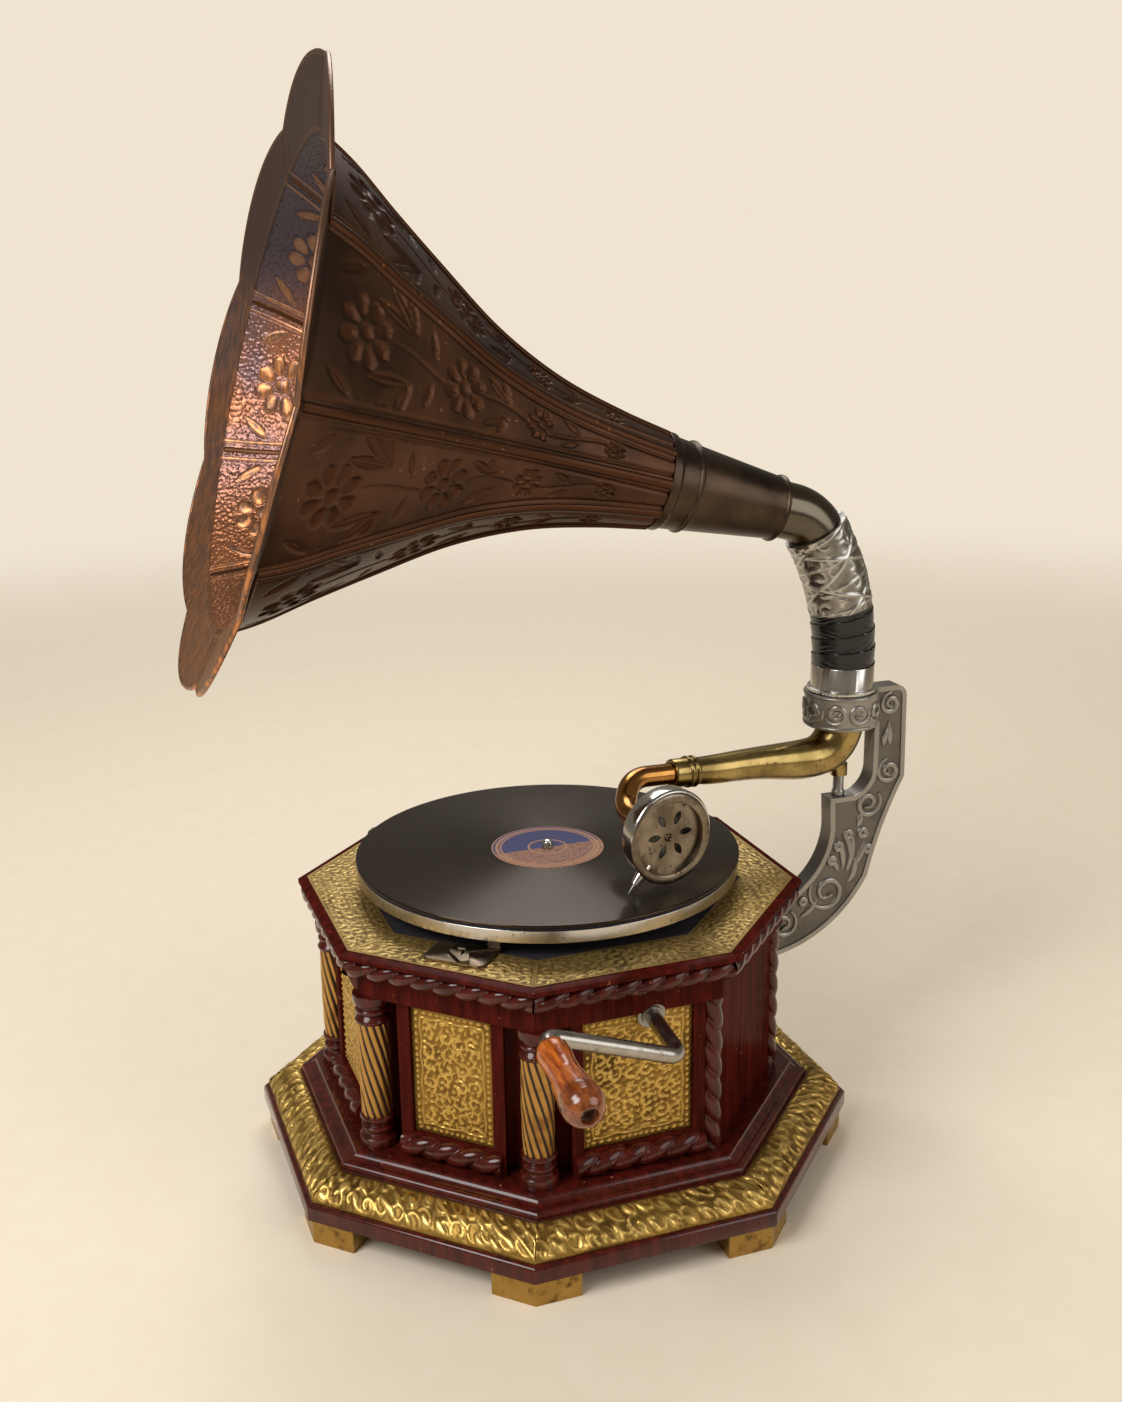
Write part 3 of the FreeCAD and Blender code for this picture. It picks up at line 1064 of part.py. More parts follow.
def make_collar():
    origin, ahead = horn_axis()
    length = COLLAR_END - PETAL_FOOT
    bead_at = COLLAR_END - COLLAR_BEAD_AT
    wall, bead = PETAL_WALL, BEAD_RADIUS
    end, head = COLLAR_END_RADIUS, PETAL_FOOT_RADIUS

    def taper(along):
        return end + (head - end) * along / length

    save("horn_collar", swung(revolved([
        (end - wall, 0), (end, 0), (end + bead, bead * 0.6), (end + bead, bead * 1.4),
        (taper(bead * 2), bead * 2),
        (taper(bead_at - bead), bead_at - bead), (taper(bead_at) + bead, bead_at - bead / 3),
        (taper(bead_at) + bead, bead_at + bead / 3), (taper(bead_at + bead), bead_at + bead),
        (taper(length - 4 * bead), length - 4 * bead), (head + bead * 0.5, length - 3 * bead),
        (head + bead * 0.5, length), (head - wall, length)], origin, ahead)))


def make_elbow():
    """The elbow climbs from the ring, leans over in a long bend and turns sharply into the collar."""
    origin, ahead = horn_axis()
    first, last = elbow_turns()
    bore = ELBOW_RADIUS - TUBE_WALL
    first_centre = at(PIVOT_Y - ELBOW_FIRST_BEND, BEND_FOOT)
    leaning = at(math.cos(first), math.sin(first))
    second_centre = first_centre + leaning * (ELBOW_FIRST_BEND - ELBOW_SECOND_BEND)

    def bent(start, stop, radius, hollow):
        angle = math.radians(start)
        spoke = at(math.cos(angle), math.sin(angle))
        normal = at(-math.sin(angle), math.cos(angle))
        ring = disc_face(first_centre + spoke * ELBOW_FIRST_BEND, normal, radius, hollow)
        return ring.revolve(first_centre, X, stop - start)

    sleeve_foot = RING_FOOT + 1.0 + ARM_FLANGE + 2 * THRUST_GAP
    shoulder_foot = RING_FOOT + RING_HEIGHT + THRUST_GAP
    foot = at(PIVOT_Y, sleeve_foot)
    sleeve = Part.makeCylinder(RING_BORE - RUNNING_FIT, SLEEVE_HEAD - sleeve_foot, foot)
    shoulder = Part.makeCylinder(SHOULDER_RADIUS, SHOULDER_HEIGHT, at(PIVOT_Y, shoulder_foot))
    passage = Part.makeCylinder(bore, BEND_FOOT - sleeve_foot, foot)
    riser = Part.makeCylinder(ELBOW_RADIUS, BEND_FOOT - sleeve_foot, foot)
    top_normal = at(-math.sin(first), math.cos(first))
    top_ring = disc_face(second_centre + leaning * ELBOW_SECOND_BEND, top_normal, ELBOW_RADIUS, bore)
    top = top_ring.revolve(second_centre, X, math.degrees(last - first))
    stub_ring = disc_face(origin - ahead * ELBOW_RUN, ahead, ELBOW_RADIUS, bore)
    stub = stub_ring.extrude(ahead * (ELBOW_RUN + ELBOW_SEAT))
    lower = sleeve.multiFuse([shoulder, riser]).cut(passage)
    elbow = lower.multiFuse([bent(0, ELBOW_FIRST_TURN, ELBOW_RADIUS, bore), top, stub]).removeSplitter()
    save("horn_elbow", swung(elbow))
    tape_ring = disc_face(at(PIVOT_Y, SLEEVE_HEAD), Z, ELBOW_RADIUS + TAPE_THICK, ELBOW_RADIUS)
    tape = tape_ring.extrude(Z * ELBOW_STRAIGHT)
    tape = tape.fuse(bent(0, TAPE_TURN, ELBOW_RADIUS + TAPE_THICK, ELBOW_RADIUS)).removeSplitter()
    save("tape_wrap", swung(tape))
    save("foil_wrap", swung(bent(TAPE_TURN, FOIL_TURN, ELBOW_RADIUS + FOIL_THICK, ELBOW_RADIUS)))


os.makedirs("parts", exist_ok=True)
make_feet()
make_plinth()
make_walls()
make_columns()
make_deck()
make_turntable()
make_motor()
make_governor()
make_crank()
make_bracket()
make_tonearm()
make_soundbox()
make_deck_controls()
make_petals()
make_collar()
make_elbow()
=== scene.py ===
import json
import math
import bmesh
import bpy
import numpy as np
from mathutils import Matrix, Vector


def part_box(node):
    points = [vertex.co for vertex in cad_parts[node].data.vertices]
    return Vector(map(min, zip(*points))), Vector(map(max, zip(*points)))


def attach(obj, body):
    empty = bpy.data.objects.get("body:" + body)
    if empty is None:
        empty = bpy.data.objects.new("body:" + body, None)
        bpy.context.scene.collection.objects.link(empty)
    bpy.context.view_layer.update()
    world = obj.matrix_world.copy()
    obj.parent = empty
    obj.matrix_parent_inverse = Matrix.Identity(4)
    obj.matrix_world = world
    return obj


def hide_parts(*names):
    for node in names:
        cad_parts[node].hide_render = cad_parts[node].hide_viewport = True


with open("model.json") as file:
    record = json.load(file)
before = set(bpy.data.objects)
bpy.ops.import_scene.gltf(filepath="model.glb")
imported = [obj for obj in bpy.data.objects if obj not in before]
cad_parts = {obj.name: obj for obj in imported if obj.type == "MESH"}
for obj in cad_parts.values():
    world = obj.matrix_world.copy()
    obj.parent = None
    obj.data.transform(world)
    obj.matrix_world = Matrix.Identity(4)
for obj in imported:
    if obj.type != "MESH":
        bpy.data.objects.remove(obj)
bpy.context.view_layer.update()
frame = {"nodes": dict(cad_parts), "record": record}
nodes = frame["nodes"]
platterLow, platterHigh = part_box("platter")
axis = (platterLow + platterHigh) / 2  # a point on the spindle's line
eighth = math.radians(45)
mitre = math.tan(eighth / 2)  # half a side of the octagon over its flat
print("frame loaded:", len(nodes), "nodes, spindle at", [round(n, 4) for n in axis])


# Shader maths

class Sock:  # a shader socket that takes arithmetic
    def __init__(self, tree, socket=None):
        self.tree = tree
        self.socket = socket

    def node(self, kind, settings=None, out=0, **fed):
        made = self.tree.nodes.new("ShaderNode" + kind)
        for name, value in (settings or {}).items():
            setattr(made, name, value)
        for name, value in fed.items():  # n0, n1 are sockets by number, others by name
            key = int(name[1:]) if name[1:].isdigit() else name.replace("_", " ")
            if isinstance(value, Sock):
                self.tree.links.new(value.socket, made.inputs[key])
            else:
                made.inputs[key].default_value = value
        return Sock(self.tree, made.outputs[out] if len(made.outputs) else None)

    def math(self, operation, first, second=0.0):
        return self.node("Math", {"operation": operation}, n0=first, n1=second)

    def __add__(self, other):
        return self.math("ADD", self, other)

    __radd__ = __add__

    def __sub__(self, other):
        return self.math("SUBTRACT", self, other)

    def __rsub__(self, other):
        return self.math("SUBTRACT", other, self)

    def __mul__(self, other):
        return self.math("MULTIPLY", self, other)

    def clamped(self, low, high):  # 0 at low, 1 at high, smooth between
        return self.node("MapRange", {"interpolation_type": "SMOOTHSTEP"}, n0=self, n1=low, n2=high)

    def mix(self, low, high):  # a colour from low to high as this goes from 0 to 1
        return self.node("Mix", {"data_type": "RGBA"}, 2, n0=self, n6=low, n7=high)


def rgb(red, green, blue):  # a colour as a paint chart gives it, 0 to 255
    parts = [n / 255 for n in (red, green, blue)]
    return tuple(n / 12.92 if n < 0.04045 else ((n + 0.055) / 1.055) ** 2.4 for n in parts) + (1.0,)


def emptied(holder):  # a material's or a world's tree, without its first nodes
    holder.use_nodes = True
    holder.node_tree.nodes.clear()
    return Sock(holder.node_tree)


def finish(name, paint, **constants):  # paint gives the sockets that vary, constants the rest
    material = bpy.data.materials.new(name)
    start = emptied(material)
    shader = start.node("BsdfPrincipled", **constants, **paint(start))
    start.node("OutputMaterial", Surface=shader)
    return material


def place(start, scale=(1.0, 1.0, 1.0), shift=(0.0, 0.0, 0.0)):
    spot = start.node("TexCoord", None, 3)
    return start.node("Mapping", Vector=spot, Location=shift, Scale=scale)


def noise(start, spot, scale, detail=4.0):
    return start.node("TexNoise", Vector=spot, Scale=scale, Detail=detail, Roughness=0.55)


def speckle(start, scale, detail=4.0):  # noise over the plain object coordinates
    return noise(start, place(start), scale, detail)


def coordinate(start, which, scale=(1.0, 1.0, 1.0), shift=(0.0, 0.0, 0.0)):  # which is 0 for x, 2 for z
    return start.node("SeparateXYZ", None, which, Vector=place(start, scale, shift))


def relief(start):  # the height that the mesh code left on each vertex
    return start.node("Attribute", {"attribute_name": "relief"}, 2)


def bump(start, height, strength, distance):
    return start.node("Bump", Height=height, Strength=strength, Distance=distance)


def fromAxis(start, across=(1.0, 1.0, 0.0)):  # distance from the spindle's line, along the axes marked 1
    spot = place(start, across, (-axis.x * across[0], -axis.y * across[1], 0.0))
    return start.node("VectorMath", {"operation": "LENGTH"}, 1, n0=spot)


def mahoganyPaint(start):
    grain = noise(start, place(start, (55, 55, 5)), 3.0, 6.0)
    pores = noise(start, place(start, (420, 420, 26)), 2.0, 3.0)
    tone = (grain * 0.75 + pores * 0.35).clamped(0.38, 0.72)
    worn = speckle(start, 26.0).clamped(0.52, 0.75)
    chips = speckle(start, 230.0, 3.0).clamped(0.70, 0.75)
    red = tone.mix(rgb(52, 14, 10), rgb(86, 26, 18))
    return {"Base_Color": chips.mix(red, rgb(150, 92, 60)), "Roughness": 0.2 + worn * 0.2,
            "Normal": bump(start, pores, 0.08, 0.0005)}


def boardPaint(start):
    grain = noise(start, place(start, (60, 6, 60)), 3.0, 5.0)
    return {"Base_Color": grain.mix(rgb(28, 26, 32), rgb(52, 48, 56)), "Roughness": 0.55 + grain * 0.2}


def giltPaint(start):
    high = relief(start)
    dust = speckle(start, 160.0)
    tone = (high + (dust - 0.5) * 0.5).clamped(0.25, 0.8)
    rub = speckle(start, 45.0, 5.0).clamped(0.45, 0.72)
    gold = rub.mix(rgb(190, 146, 80), rgb(132, 86, 42))
    return {"Base_Color": tone.mix(rgb(46, 22, 14), gold), "Metallic": tone * 0.95,
            "Roughness": 0.5 - tone * 0.2, "Normal": bump(start, dust, 0.1, 0.0004)}


def pressedPaint(ground, raised, sootAndShade):  # pressed brass: the relief painted bright, part rubbed wear and part painted highlight; soot round it, part dirt and part painted shade
    def paint(start):
        high = relief(start)
        stain = speckle(start, 30.0, 6.0)
        sand = speckle(start, 900.0, 3.0)
        # the soot gathers most in the recesses: part dirt, part painted shade
        dirt = (stain * 0.7 + sand * 0.4 - high * 0.3).clamped(0.46, 0.72)
        # the relief takes the brighter tone: part rubbed wear, part painted highlight
        metal = high.clamped(0.1, 0.9).mix(ground, raised)
        return {"Base_Color": dirt.mix(metal, sootAndShade), "Roughness": 0.4 - high * 0.14 + sand * 0.14,
                "Normal": bump(start, sand, 0.3, 0.0005)}
    return paint


def wornPaint(grain, low, high, rough):  # one cloud of wear: its scale and detail, then two tones
    def paint(start):
        wear = speckle(start, *grain)
        return {"Base_Color": wear.mix(low, high), "Roughness": rough[0] + wear * rough[1]}
    return paint


def spottedPaint(grain, spots, limits, low, high, spot, rough, sharp=None):
    # the same with spots where a second noise passes its limits; sharp draws the tones apart
    def paint(start):
        wear = speckle(start, *grain)
        stain = speckle(start, *spots).clamped(*limits)
        tone = (wear.clamped(*sharp) if sharp else wear).mix(low, high)
        return {"Base_Color": stain.mix(tone, spot),
                "Roughness": rough[0] + wear * rough[1] + stain * rough[2]}
    return paint


elbowDullAndReflection = (0.376, 0.392)  # heights between which the elbow's plate is painted dark: part dull plate, part painted dark reflection


def nickelPaint(start):
    haze = speckle(start, 60.0, 6.0)
    spots = speckle(start, 380.0, 3.0).clamped(0.62, 0.74)
    bright = haze.mix(rgb(190, 186, 180), rgb(222, 218, 212))
    # above these heights the nickel is painted dark: part dull plate, part painted dark reflection
    tone = coordinate(start, 2).clamped(*elbowDullAndReflection).mix(bright, rgb(96, 89, 76))
    return {"Base_Color": spots.mix(tone, rgb(112, 100, 86)), "Roughness": 0.12 + haze * 0.14 + spots * 0.2}


castProud = (0.0059, 0.0070)  # out from the bracket's mid-plane: the sunk field, the scrolls


def castingPaint(start):  # rubbed bright where it stands proud
    apart = fromAxis(start, (1.0, 0.0, 0.0))
    sand = speckle(start, 620.0, 4.0)
    dirt = speckle(start, 48.0, 5.0).clamped(0.4, 0.75)
    tone = (apart.clamped(*castProud) * 0.7 + 0.25 - dirt * 0.25).clamped(0.0, 1.0)
    return {"Base_Color": tone.mix(rgb(104, 99, 92), rgb(156, 151, 144)),
            "Roughness": 0.44 - tone * 0.14 + dirt * 0.12, "Normal": bump(start, sand, 0.14, 0.0005)}


def feltPaint(start):
    nap = speckle(start, 900.0, 3.0)
    return {"Base_Color": nap.mix(rgb(20, 24, 44), rgb(48, 52, 78)), "Normal": bump(start, nap, 0.5, 0.001)}


groovePitch = 0.0011


def shellacPaint(start):
    radius = fromAxis(start)
    groove = start.math("SINE", radius * (2 * math.pi / groovePitch))
    band = noise(start, start.node("CombineXYZ", X=radius), 260.0, 3.0)
    dust = speckle(start, 700.0, 2.0).clamped(0.66, 0.78)
    tone = dust.mix(rgb(18, 12, 8), rgb(62, 50, 41))
    return {"Base_Color": tone, "Roughness": 0.1 + band * 0.16, "Normal": bump(start, groove, 0.15, 0.0003)}


labelWork = {"split": (0.0005, 0.0012), "fade": 0.0003,  # each ring has a middle radius and half a width
             "rings": ((0.0368, 0.0003), (0.0338, 0.0009), (0.0312, 0.0005), (0.0125, 0.0006))}


def labelPaint(start):  # blue above, stippled copper below, with plain rings
    radius = fromAxis(start)
    fade = speckle(start, 180.0, 4.0)
    stipple = speckle(start, 900.0, 2.0).clamped(0.36, 0.5)
    lower = coordinate(start, 0, shift=(-axis.x, -axis.y, 0.0))
    blue = fade.mix(rgb(34, 36, 96), rgb(52, 56, 122))
    copper = stipple.mix(rgb(70, 52, 72), rgb(170, 116, 84))
    face = lower.clamped(*labelWork["split"]).mix(blue, copper)
    rings = 0.0
    for middle, width in labelWork["rings"]:
        edge = start.math("ABSOLUTE", radius - middle)
        rings = rings + (1 - edge.clamped(width, width + labelWork["fade"]))
    return {"Base_Color": rings.clamped(0.2, 0.8).mix(face, rgb(186, 132, 96)), "Roughness": 0.5 + fade * 0.2}


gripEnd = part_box("crank_grip")[1].x
gripWorn = (0.027, 0.020)  # in from the ball end: where wear begins, and where it is full


def gripPaint(start):  # amber lacquer, worn dark over the ball end
    grain = noise(start, place(start, (30, 160, 160)), 2.0, 6.0).clamped(0.3, 0.7)
    back = coordinate(start, 0, (-1, 1, 1), (gripEnd, 0.0, 0.0))
    patch = speckle(start, 90.0, 5.0)
    worn = (back + patch * 0.012).clamped(*gripWorn) * (0.2 + patch * 0.8)
    amber = grain.mix(rgb(132, 54, 14), rgb(206, 110, 36))
    return {"Base_Color": worn.mix(amber, rgb(66, 34, 18)), "Roughness": 0.16 + grain * 0.14}


def gooseneckPaint(start):
    haze = speckle(start, 42.0, 6.0).clamped(0.3, 0.7)
    return {"Base_Color": haze.mix(rgb(182, 130, 70), rgb(126, 84, 42)), "Roughness": 0.16 + haze * 0.12}


def hornOutsidePaint(start):  # the pressed work is sunk on this side
    sunk = relief(start).clamped(0.2, 0.9)
    cloud = speckle(start, 14.0, 6.0).clamped(0.3, 0.75)
    fleck = speckle(start, 260.0, 4.0)
    brown = cloud.mix(rgb(56, 38, 28), rgb(100, 67, 47))
    rubbed = (fleck + cloud * 0.1).clamped(0.71, 0.86)
    tone = rubbed.mix(sunk.mix(brown, rgb(78, 48, 30)), rgb(170, 120, 84))
    return {"Base_Color": tone, "Roughness": 0.34 + cloud * 0.1 + fleck * 0.1,
            "Normal": bump(start, fleck, 0.12, 0.0006)}


def collarPaint(start):
    cloud = speckle(start, 22.0, 6.0).clamped(0.3, 0.75)
    fleck = speckle(start, 260.0, 4.0).clamped(0.68, 0.8)
    brown = cloud.mix(rgb(48, 38, 31), rgb(88, 70, 55))
    return {"Base_Color": fleck.mix(brown, rgb(150, 122, 94)), "Roughness": 0.28 + cloud * 0.14}


bellShadeAndCool = {"paintedShade": (0.535, 0.60), "cool": (0.42, 0.5)}  # heights over which the bell's inside is painted in shade, and over which its patina cools


def hornInsidePaint(start):  # pebbled ground under a patina, copper where it is raised, with painted shade towards the top
    high = relief(start)
    cloud = speckle(start, 11.0, 5.0).clamped(0.35, 0.68)
    streak = noise(start, place(start, (260, 260, 26)), 1.0, 4.0)
    pebble = start.node("TexVoronoi", {"feature": "SMOOTH_F1"}, Vector=place(start), Scale=430.0)
    ground = 1 - high.clamped(0.06, 0.3)
    height = coordinate(start, 2)
    # painted shade: the inside is painted darker towards the top of the bell
    paintedShade = (height + cloud * 0.02).clamped(*bellShadeAndCool["paintedShade"])
    cool = (height + cloud * 0.04).clamped(*bellShadeAndCool["cool"]).mix(rgb(146, 96, 66), rgb(104, 98, 114))
    patina = paintedShade.mix(cloud.mix(cool, rgb(172, 112, 74)), rgb(70, 62, 72))
    copper = paintedShade.mix(streak.clamped(0.4, 0.62).mix(rgb(130, 98, 80), rgb(206, 138, 88)), rgb(122, 90, 72))
    tone = high.clamped(0.1, 0.7).mix(patina, copper)
    return {"Base_Color": tone, "Roughness": 0.32 + streak * 0.14,
            "Normal": bump(start, (1 - pebble) * ground + streak * 0.15, 0.9, 0.0011)}


def tapePaint(start):
    wrinkle = noise(start, place(start, (1, 1, 3)), 160.0, 4.0)
    return {"Base_Color": wrinkle.mix(rgb(5, 5, 6), rgb(16, 15, 16)), "Roughness": 0.16 + wrinkle * 0.16,
            "Normal": bump(start, wrinkle, 0.2, 0.0008)}


def foilPaint(start):
    high = relief(start)
    haze = speckle(start, 120.0, 4.0)
    tone = (high * 0.7 + haze * 0.5).clamped(0.2, 0.9)
    return {"Base_Color": tone.mix(rgb(128, 124, 116), rgb(222, 220, 214)), "Roughness": 0.22 + haze * 0.16}


wood = {"Coat_Weight": 0.5, "Coat_Roughness": 0.08, "Coat_IOR": 1.45, "Specular_IOR_Level": 0.2}
dullWood = {"Coat_Weight": 0.12, "Coat_Roughness": 0.2, "Coat_IOR": 1.35, "Specular_IOR_Level": 0.0}
pressedTones = pressedPaint(rgb(158, 122, 56), rgb(222, 184, 100), rgb(86, 62, 26))
skirtTones = pressedPaint(rgb(160, 126, 60), rgb(228, 192, 110), rgb(88, 64, 28))
deckTones = pressedPaint(rgb(154, 126, 70), rgb(204, 174, 108), rgb(94, 74, 38))
footTones = spottedPaint((60.0, 6.0), (150.0, 6.0), (0.48, 0.78), rgb(146, 112, 52), rgb(196, 158, 84),
                         rgb(84, 60, 28), (0.3, 0.2, 0.2))
rodTones = spottedPaint((120.0, 6.0), (55.0, 6.0), (0.62, 0.74), rgb(138, 132, 124), rgb(204, 198, 188),
                        rgb(104, 78, 56), (0.2, 0.18, 0.2))
armTones = spottedPaint((42.0, 6.0), (300.0, 4.0), (0.58, 0.74), rgb(174, 150, 94), rgb(122, 102, 60),
                        rgb(92, 70, 34), (0.16, 0.14, 0.2), (0.3, 0.7))
agedTones = spottedPaint((60.0, 6.0), (300.0, 4.0), (0.58, 0.72), rgb(146, 132, 114), rgb(102, 89, 74),
                         rgb(84, 70, 56), (0.22, 0.16, 0.15), (0.3, 0.7))
steelTones = wornPaint((90.0, 6.0), rgb(120, 116, 110), rgb(186, 182, 176), (0.24, 0.28))
worksTones = wornPaint((70.0, 5.0), rgb(150, 112, 58), rgb(206, 168, 98), (0.24, 0.2))
micaTones = wornPaint((120.0, 5.0), rgb(178, 170, 152), rgb(208, 202, 188), (0.28, 0.2))
knobTones = wornPaint((200.0, 4.0), rgb(70, 62, 52), rgb(128, 116, 98), (0.3, 0.25))
finishes = {
    "mahogany": finish("mahogany", mahoganyPaint, **wood),
    "board": finish("darkBoard", boardPaint),
    "gilt_wood": finish("giltWood", giltPaint),
    "pressed_brass": finish("pressedBrass", pressedTones, Metallic=0.85),
    "works_steel": finish("worksSteel", steelTones, Metallic=1.0),
    "works_brass": finish("worksBrass", worksTones, Metallic=1.0),
    "nickel": finish("nickelPlate", nickelPaint, Metallic=1.0),
    "casting": finish("greyCasting", castingPaint, Metallic=0.85),
    "felt": finish("blueFelt", feltPaint, Roughness=0.95, Sheen_Weight=0.3),
    "shellac": finish("groovedShellac", shellacPaint, Specular_Tint=rgb(255, 216, 182)),
    "label": finish("ringedLabel", labelPaint),
    "rod_steel": finish("wornRod", rodTones, Metallic=1.0),
    "grip_wood": finish("lacqueredGrip", gripPaint, Coat_Weight=0.6, Coat_Roughness=0.12),
    "arm_brass": finish("agedArmBrass", armTones, Metallic=1.0),
    "diaphragm": finish("mica", micaTones, Specular_IOR_Level=0.6),
    "knob": finish("bronzeKnob", knobTones, Metallic=0.8),
    "horn_metal": finish("hornOutside", hornOutsidePaint, Metallic=0.9),
    "tape": finish("blackTape", tapePaint, Specular_IOR_Level=0.55),
    "foil": finish("silverFoil", foilPaint, Metallic=1.0)}
wallWood = finish("wallWood", mahoganyPaint, **dullWood)
collarMetal = finish("collarMetal", collarPaint, Metallic=0.9)
neckBrass = finish("neckBrass", gooseneckPaint, Metallic=1.0)
skirtBrass = finish("skirtBrass", skirtTones, Metallic=0.85)
deckBrass = finish("deckBrass", deckTones, Metallic=0.8)
hornInside = finish("hornInside", hornInsidePaint, Metallic=0.85)
footBrass = finish("footBrass", footTones, Metallic=0.85)
agedNickel = finish("agedNickel", agedTones, Metallic=1.0)
print("finishes:", len(bpy.data.materials))


# Mesh helpers

def newMesh():
    bm = bmesh.new()
    bm.verts.layers.float.new("relief")
    return bm


def addSheet(bm, work, put, height=None, hand=1, lift=0.0):
    # a grid put in space by put(u, v), and raised along its normal by lift and height(u, v) times the depth
    made = bmesh.ops.create_grid(bm, x_segments=work["columns"], y_segments=work["rows"], size=0.5)["verts"]
    flat = np.array([vert.co[:2] for vert in made]) + 0.5
    u, v = flat[:, 0], flat[:, 1]
    level = height(u, v) if height else np.ones(len(u))
    spots = put(u, v)
    if "depth" in work:
        step = 1e-4
        lean = np.cross(put(u + step, v) - put(u - step, v), put(u, v + step) - put(u, v - step))
        lean /= np.maximum(np.linalg.norm(lean, axis=1), 1e-15)[:, None]
        spots = spots + lean * (lift + hand * level * work["depth"])[:, None]
    layer = bm.verts.layers.float["relief"]
    for vert, spot, raised in zip(made, spots, level):
        vert.co = spot
        vert[layer] = raised
    return made


def closeTube(bm, made):  # joins a rolled-up sheet to itself and caps its ends
    bmesh.ops.remove_doubles(bm, verts=made, dist=1e-6)
    bmesh.ops.holes_fill(bm, edges=[edge for edge in bm.edges if edge.is_boundary])


def linked(name, data):
    made = bpy.data.objects.new(name, data)
    bpy.context.scene.collection.objects.link(made)
    return made


def addPiece(name, bm, body, slotName, replaced=(), skins=None, crease=50):
    mesh = bpy.data.meshes.new(name)
    bm.to_mesh(mesh)
    bm.free()
    for skin in skins or [finishes[slotName]]:
        mesh.materials.append(skin)
    mesh.shade_smooth()
    mesh.set_sharp_from_angle(angle=math.radians(crease))
    piece = linked(name, mesh)
    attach(piece, body)
    if replaced:
        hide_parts(*replaced)
    return piece


def thicken(piece, wall):  # the wall goes inwards from the modelled face
    solid = piece.modifiers.new("wall", "SOLIDIFY")
    solid.thickness = wall
    solid.offset = -1


def onSide(side, flat, along, height):  # a place on one side of the octagon about the spindle
    c, s = math.cos(side * eighth), math.sin(side * eighth)
    flat, along, height = np.broadcast_arrays(flat, along, height)
    return np.stack([axis.x + flat * c - along * s, axis.y + flat * s + along * c, height], 1)


def smoothstep(low, high, x):
    t = np.clip((x - low) / (high - low), 0, 1)
    return t * t * (3 - 2 * t)


def hashed(i, j, seed):  # a fixed scatter from 0 to 1
    return np.mod(np.sin(i * 127.1 + j * 311.7 + seed * 74.7) * 43758.5453, 1.0)


def scrolls(x, y, seed):  # commas with a bulb at the inner end, one to each unit square
    level = np.zeros_like(x)
    for i in (-1, 0, 1):
        for j in (-1, 0, 1):
            a, b = np.floor(x) + i, np.floor(y) + j
            dx = x - a - 0.5 - 0.3 * (hashed(a, b, seed) - 0.5)
            dy = y - b - 0.5 - 0.3 * (hashed(a, b, seed + 1) - 0.5)
            hand = np.where(hashed(a, b, seed + 2) > 0.5, 1.0, -1.0)
            turn = 2 * math.pi * hashed(a, b, seed + 3)
            sweep = np.mod(hand * np.arctan2(dy, dx) + turn, 2 * math.pi) / (2 * math.pi)
            away = np.hypot(dx, dy) - 0.15 - 0.42 * sweep
            width = 0.15 - 0.09 * sweep
            ridge = np.exp(-(away / width) ** 2) * np.clip((1 - sweep) * 6, 0, 1)
            level = np.maximum(level, ridge * (0.7 + 0.3 * hashed(a, b, seed + 4)))
    return level


wormWaves = 10  # plane waves that add up to the maze


def worms(x, y, seed):  # a maze of short ridges about one unit apart
    total = np.zeros_like(x)
    for k in range(wormWaves):
        turn = 2 * math.pi * hashed(k, seed, 1.3)
        total = total + np.cos(2 * math.pi * (x * math.cos(turn) + y * math.sin(turn) + hashed(k, seed, 5.9)))
    return smoothstep(-0.1, 1.5, total / math.sqrt(wormWaves / 2))


# Pressed brass on the deck, the skirt and the panels

deckWork = {"inner": 0.118, "foot": 0.18515, "depth": 0.0006, "wall": 0.0001, "pattern": 0.0042,
            "fade": (0.001, 0.003), "hem": (0.0008, 0.0016), "columns": 150, "rows": 38}
deckLow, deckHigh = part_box("deck_sheets")
deckFlat = (deckHigh.x - deckLow.x) / 2

bm = newMesh()
for side in range(8):
    def put(u, v):
        flat = deckFlat + (deckWork["inner"] - deckFlat) * v
        return onSide(side, flat, (2 * u - 1) * flat * mitre, deckWork["foot"])

    def height(u, v):
        flat = deckFlat + (deckWork["inner"] - deckFlat) * v
        along = (2 * u - 1) * flat * mitre
        edge = np.minimum(np.minimum(deckFlat - flat, flat - deckWork["inner"]), flat * mitre - np.abs(along))
        unit = deckWork["pattern"]
        strokes = worms(along / (1.9 * unit) + 40, flat / (0.8 * unit), side * 7 + 1)
        curls = scrolls(along / (2 * unit) + 40, flat / (2 * unit), side * 7)
        level = np.maximum(0.8 * strokes, 0.9 * curls) * smoothstep(*deckWork["fade"], edge)
        return np.maximum(level, 0.5 - 0.5 * smoothstep(*deckWork["hem"], edge))

    addSheet(bm, deckWork, put, height)
sheets = addPiece("deckSheets", bm, "cabinet", "pressed_brass", ["deck_sheets"], [deckBrass])
thicken(sheets, deckWork["wall"])

